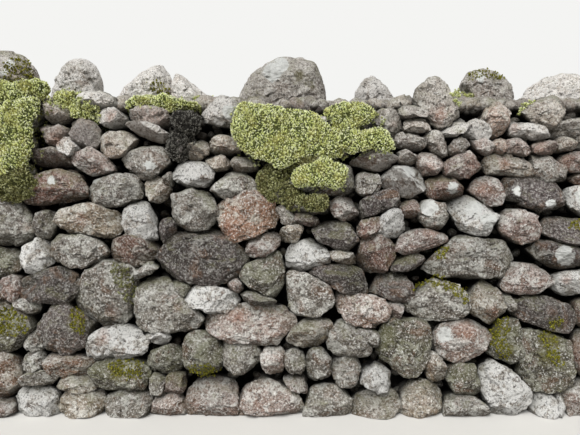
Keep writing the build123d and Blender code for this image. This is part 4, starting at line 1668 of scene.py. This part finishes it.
@dataclass
class Wall:
    """The wall's pieces, put up in order from the two faces to the moss."""

    view: Viewpoint
    site: Site
    end_bed: float = 1.30
    moss_seed: int = 77

    def build(self) -> None:
        """Puts up every piece."""
        mason = Mason(self.view, self.site)
        self._raise_faces(mason)
        self._raise_ends(mason)
        self._raise_cope(mason)
        surface = mason.surface()
        Rubble(self.view, self.site, mason).fill(surface)
        self._grow_moss(surface)

    def _raise_faces(self, mason: Mason) -> None:
        """Raises the courses of the front, and the same turned round and plainer at the back.

        Args:
            mason: Who raises them.
        """
        front = bedding(self.view.foot, self.view.up, self.view.out)
        for name, kinds in COURSES.items():
            proud = 0.0 if name == "footings" else Wear.proud
            mason.raise_stones(self.site.nodes[f"front_{name}"], front, kinds, Wear(proud=proud))
            plain = Wear(proud=proud, fineness=-1)
            mason.raise_stones(self.site.nodes[f"back_{name}"], BEHIND @ front, kinds[::-1], plain)

    def _raise_ends(self, mason: Mason) -> None:
        """Raises the ties and pairs that close both ends.

        Args:
            mason: Who raises them.
        """
        for name, kinds in ENDS.items():
            side = -1 if name.startswith("left") else 1
            axes = bedding(Vector((side * self.end_bed, 0, 0)), UPWARD, Vector((side, 0, 0)))
            mason.raise_stones(self.site.nodes[name], axes, kinds, Wear(proud=0.0, coarse_under=0.0))

    def _raise_cope(self, mason: Mason) -> None:
        """Raises the boulders along the top, those of its front edge in the bedding of the face.

        Args:
            mason: Who raises them.
        """
        front = bedding(self.view.foot, self.view.up, self.view.out)
        upright = bedding(Vector((0, 1, 0)), UPWARD, Vector((0, -1, 0)))
        for axes, boulders in ((front, EDGE_OF_COPE), (upright, BACK_OF_COPE)):
            for name, kind in boulders.items():
                mason.raise_stones(self.site.nodes[name], axes, kind.value, CALM)

    def _grow_moss(self, surface: BVHTree) -> None:
        """Grows the cushions, the clumps and the loose moss.

        Args:
            surface: The boulders' surface.
        """
        moss = Moss(self.view, self.site)
        for seed, (name, dull_below) in enumerate(CUSHIONS.items()):
            moss.cushion(self.site.nodes[name], dull_below, seed)
        for number, (patch, kind) in enumerate(MOSS_CLUMPS):
            moss.clump(f"moss_clump_{number}", patch, kind, number)
        moss.loose(LOOSE_MOSS, surface, self.moss_seed)


@dataclass(frozen=True)
class Studio:
    """A pale floor under soft light, like an overcast sky."""

    floor: str = "#d9d7d2"
    floor_size: float = 12.0
    floor_drop: float = 0.001
    floor_roughness: float = 0.9
    sky: str = "#f4f4f2"
    sky_strength: float = 0.42
    key_strength: float = 3.42
    key_spread: float = math.radians(38)
    key_from: tuple[float, float, float] = (-0.25, -0.60, 0.76)

    def build(self) -> None:
        """Lays the floor and sets the light."""
        self._lay_floor()
        self._hang_key()
        self._set_sky()

    def _lay_floor(self) -> None:
        """Lays the floor a hair below the wall, in matt pale paint."""
        mesh = bmesh.new()
        bmesh.ops.create_grid(mesh, x_segments=1, y_segments=1, size=self.floor_size)
        bmesh.ops.translate(mesh, verts=mesh.verts, vec=(0, 0, -self.floor_drop))
        paint = bpy.data.materials.new("pale_floor")
        paint.use_nodes = True
        shader = paint.node_tree.nodes["Principled BSDF"]
        shader.inputs["Base Color"].default_value = linear(self.floor)
        shader.inputs["Roughness"].default_value = self.floor_roughness
        finish_piece("floor", mesh, [paint])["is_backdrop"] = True

    def _hang_key(self) -> None:
        """Hangs the one soft lamp, over the left shoulder."""
        data = bpy.data.lights.new("key", "SUN")
        data.energy = self.key_strength
        data.angle = self.key_spread
        key = bpy.data.objects.new("key", data)
        key.rotation_euler = Vector(self.key_from).to_track_quat("Z", "Y").to_euler()
        bpy.context.scene.collection.objects.link(key)

    def _set_sky(self) -> None:
        """Sets the world, paler to the camera than the light it gives."""
        world = bpy.data.worlds.new("studio")
        world.use_nodes = True
        tree = world.node_tree
        tree.nodes.clear()
        seen = add_node(tree, "ShaderNodeLightPath").outputs["Is Camera Ray"]
        lit, shown = (
            add_node(tree, "ShaderNodeBackground", {"Color": linear(self.sky), "Strength": strength})
            for strength in (self.sky_strength, 1.0)
        )
        both = add_node(tree, "ShaderNodeMixShader", {0: seen, 1: lit.outputs[0], 2: shown.outputs[0]})
        add_node(tree, "ShaderNodeOutputWorld", {"Surface": both.outputs[0]})
        bpy.context.scene.world = world
        bpy.context.scene.view_settings.view_transform = "Standard"


def main() -> None:
    """Builds the wall's pieces in order."""
    logging.basicConfig(level=logging.INFO, format="%(name)s: %(message)s")
    # Unseeded, the noise vectors that lean the flakes would follow the clock.
    noise.seed_set(NOISE_SEED)
    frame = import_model()
    low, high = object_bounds()
    slots = {part["node"]: part["material_slot"] for part in frame["record"]["subparts"]}
    view = Viewpoint()
    Wall(view, Site(frame["nodes"], slots, low, high)).build()
    Studio().build()
    view.set_camera()


if __name__ == "__main__":
    main()
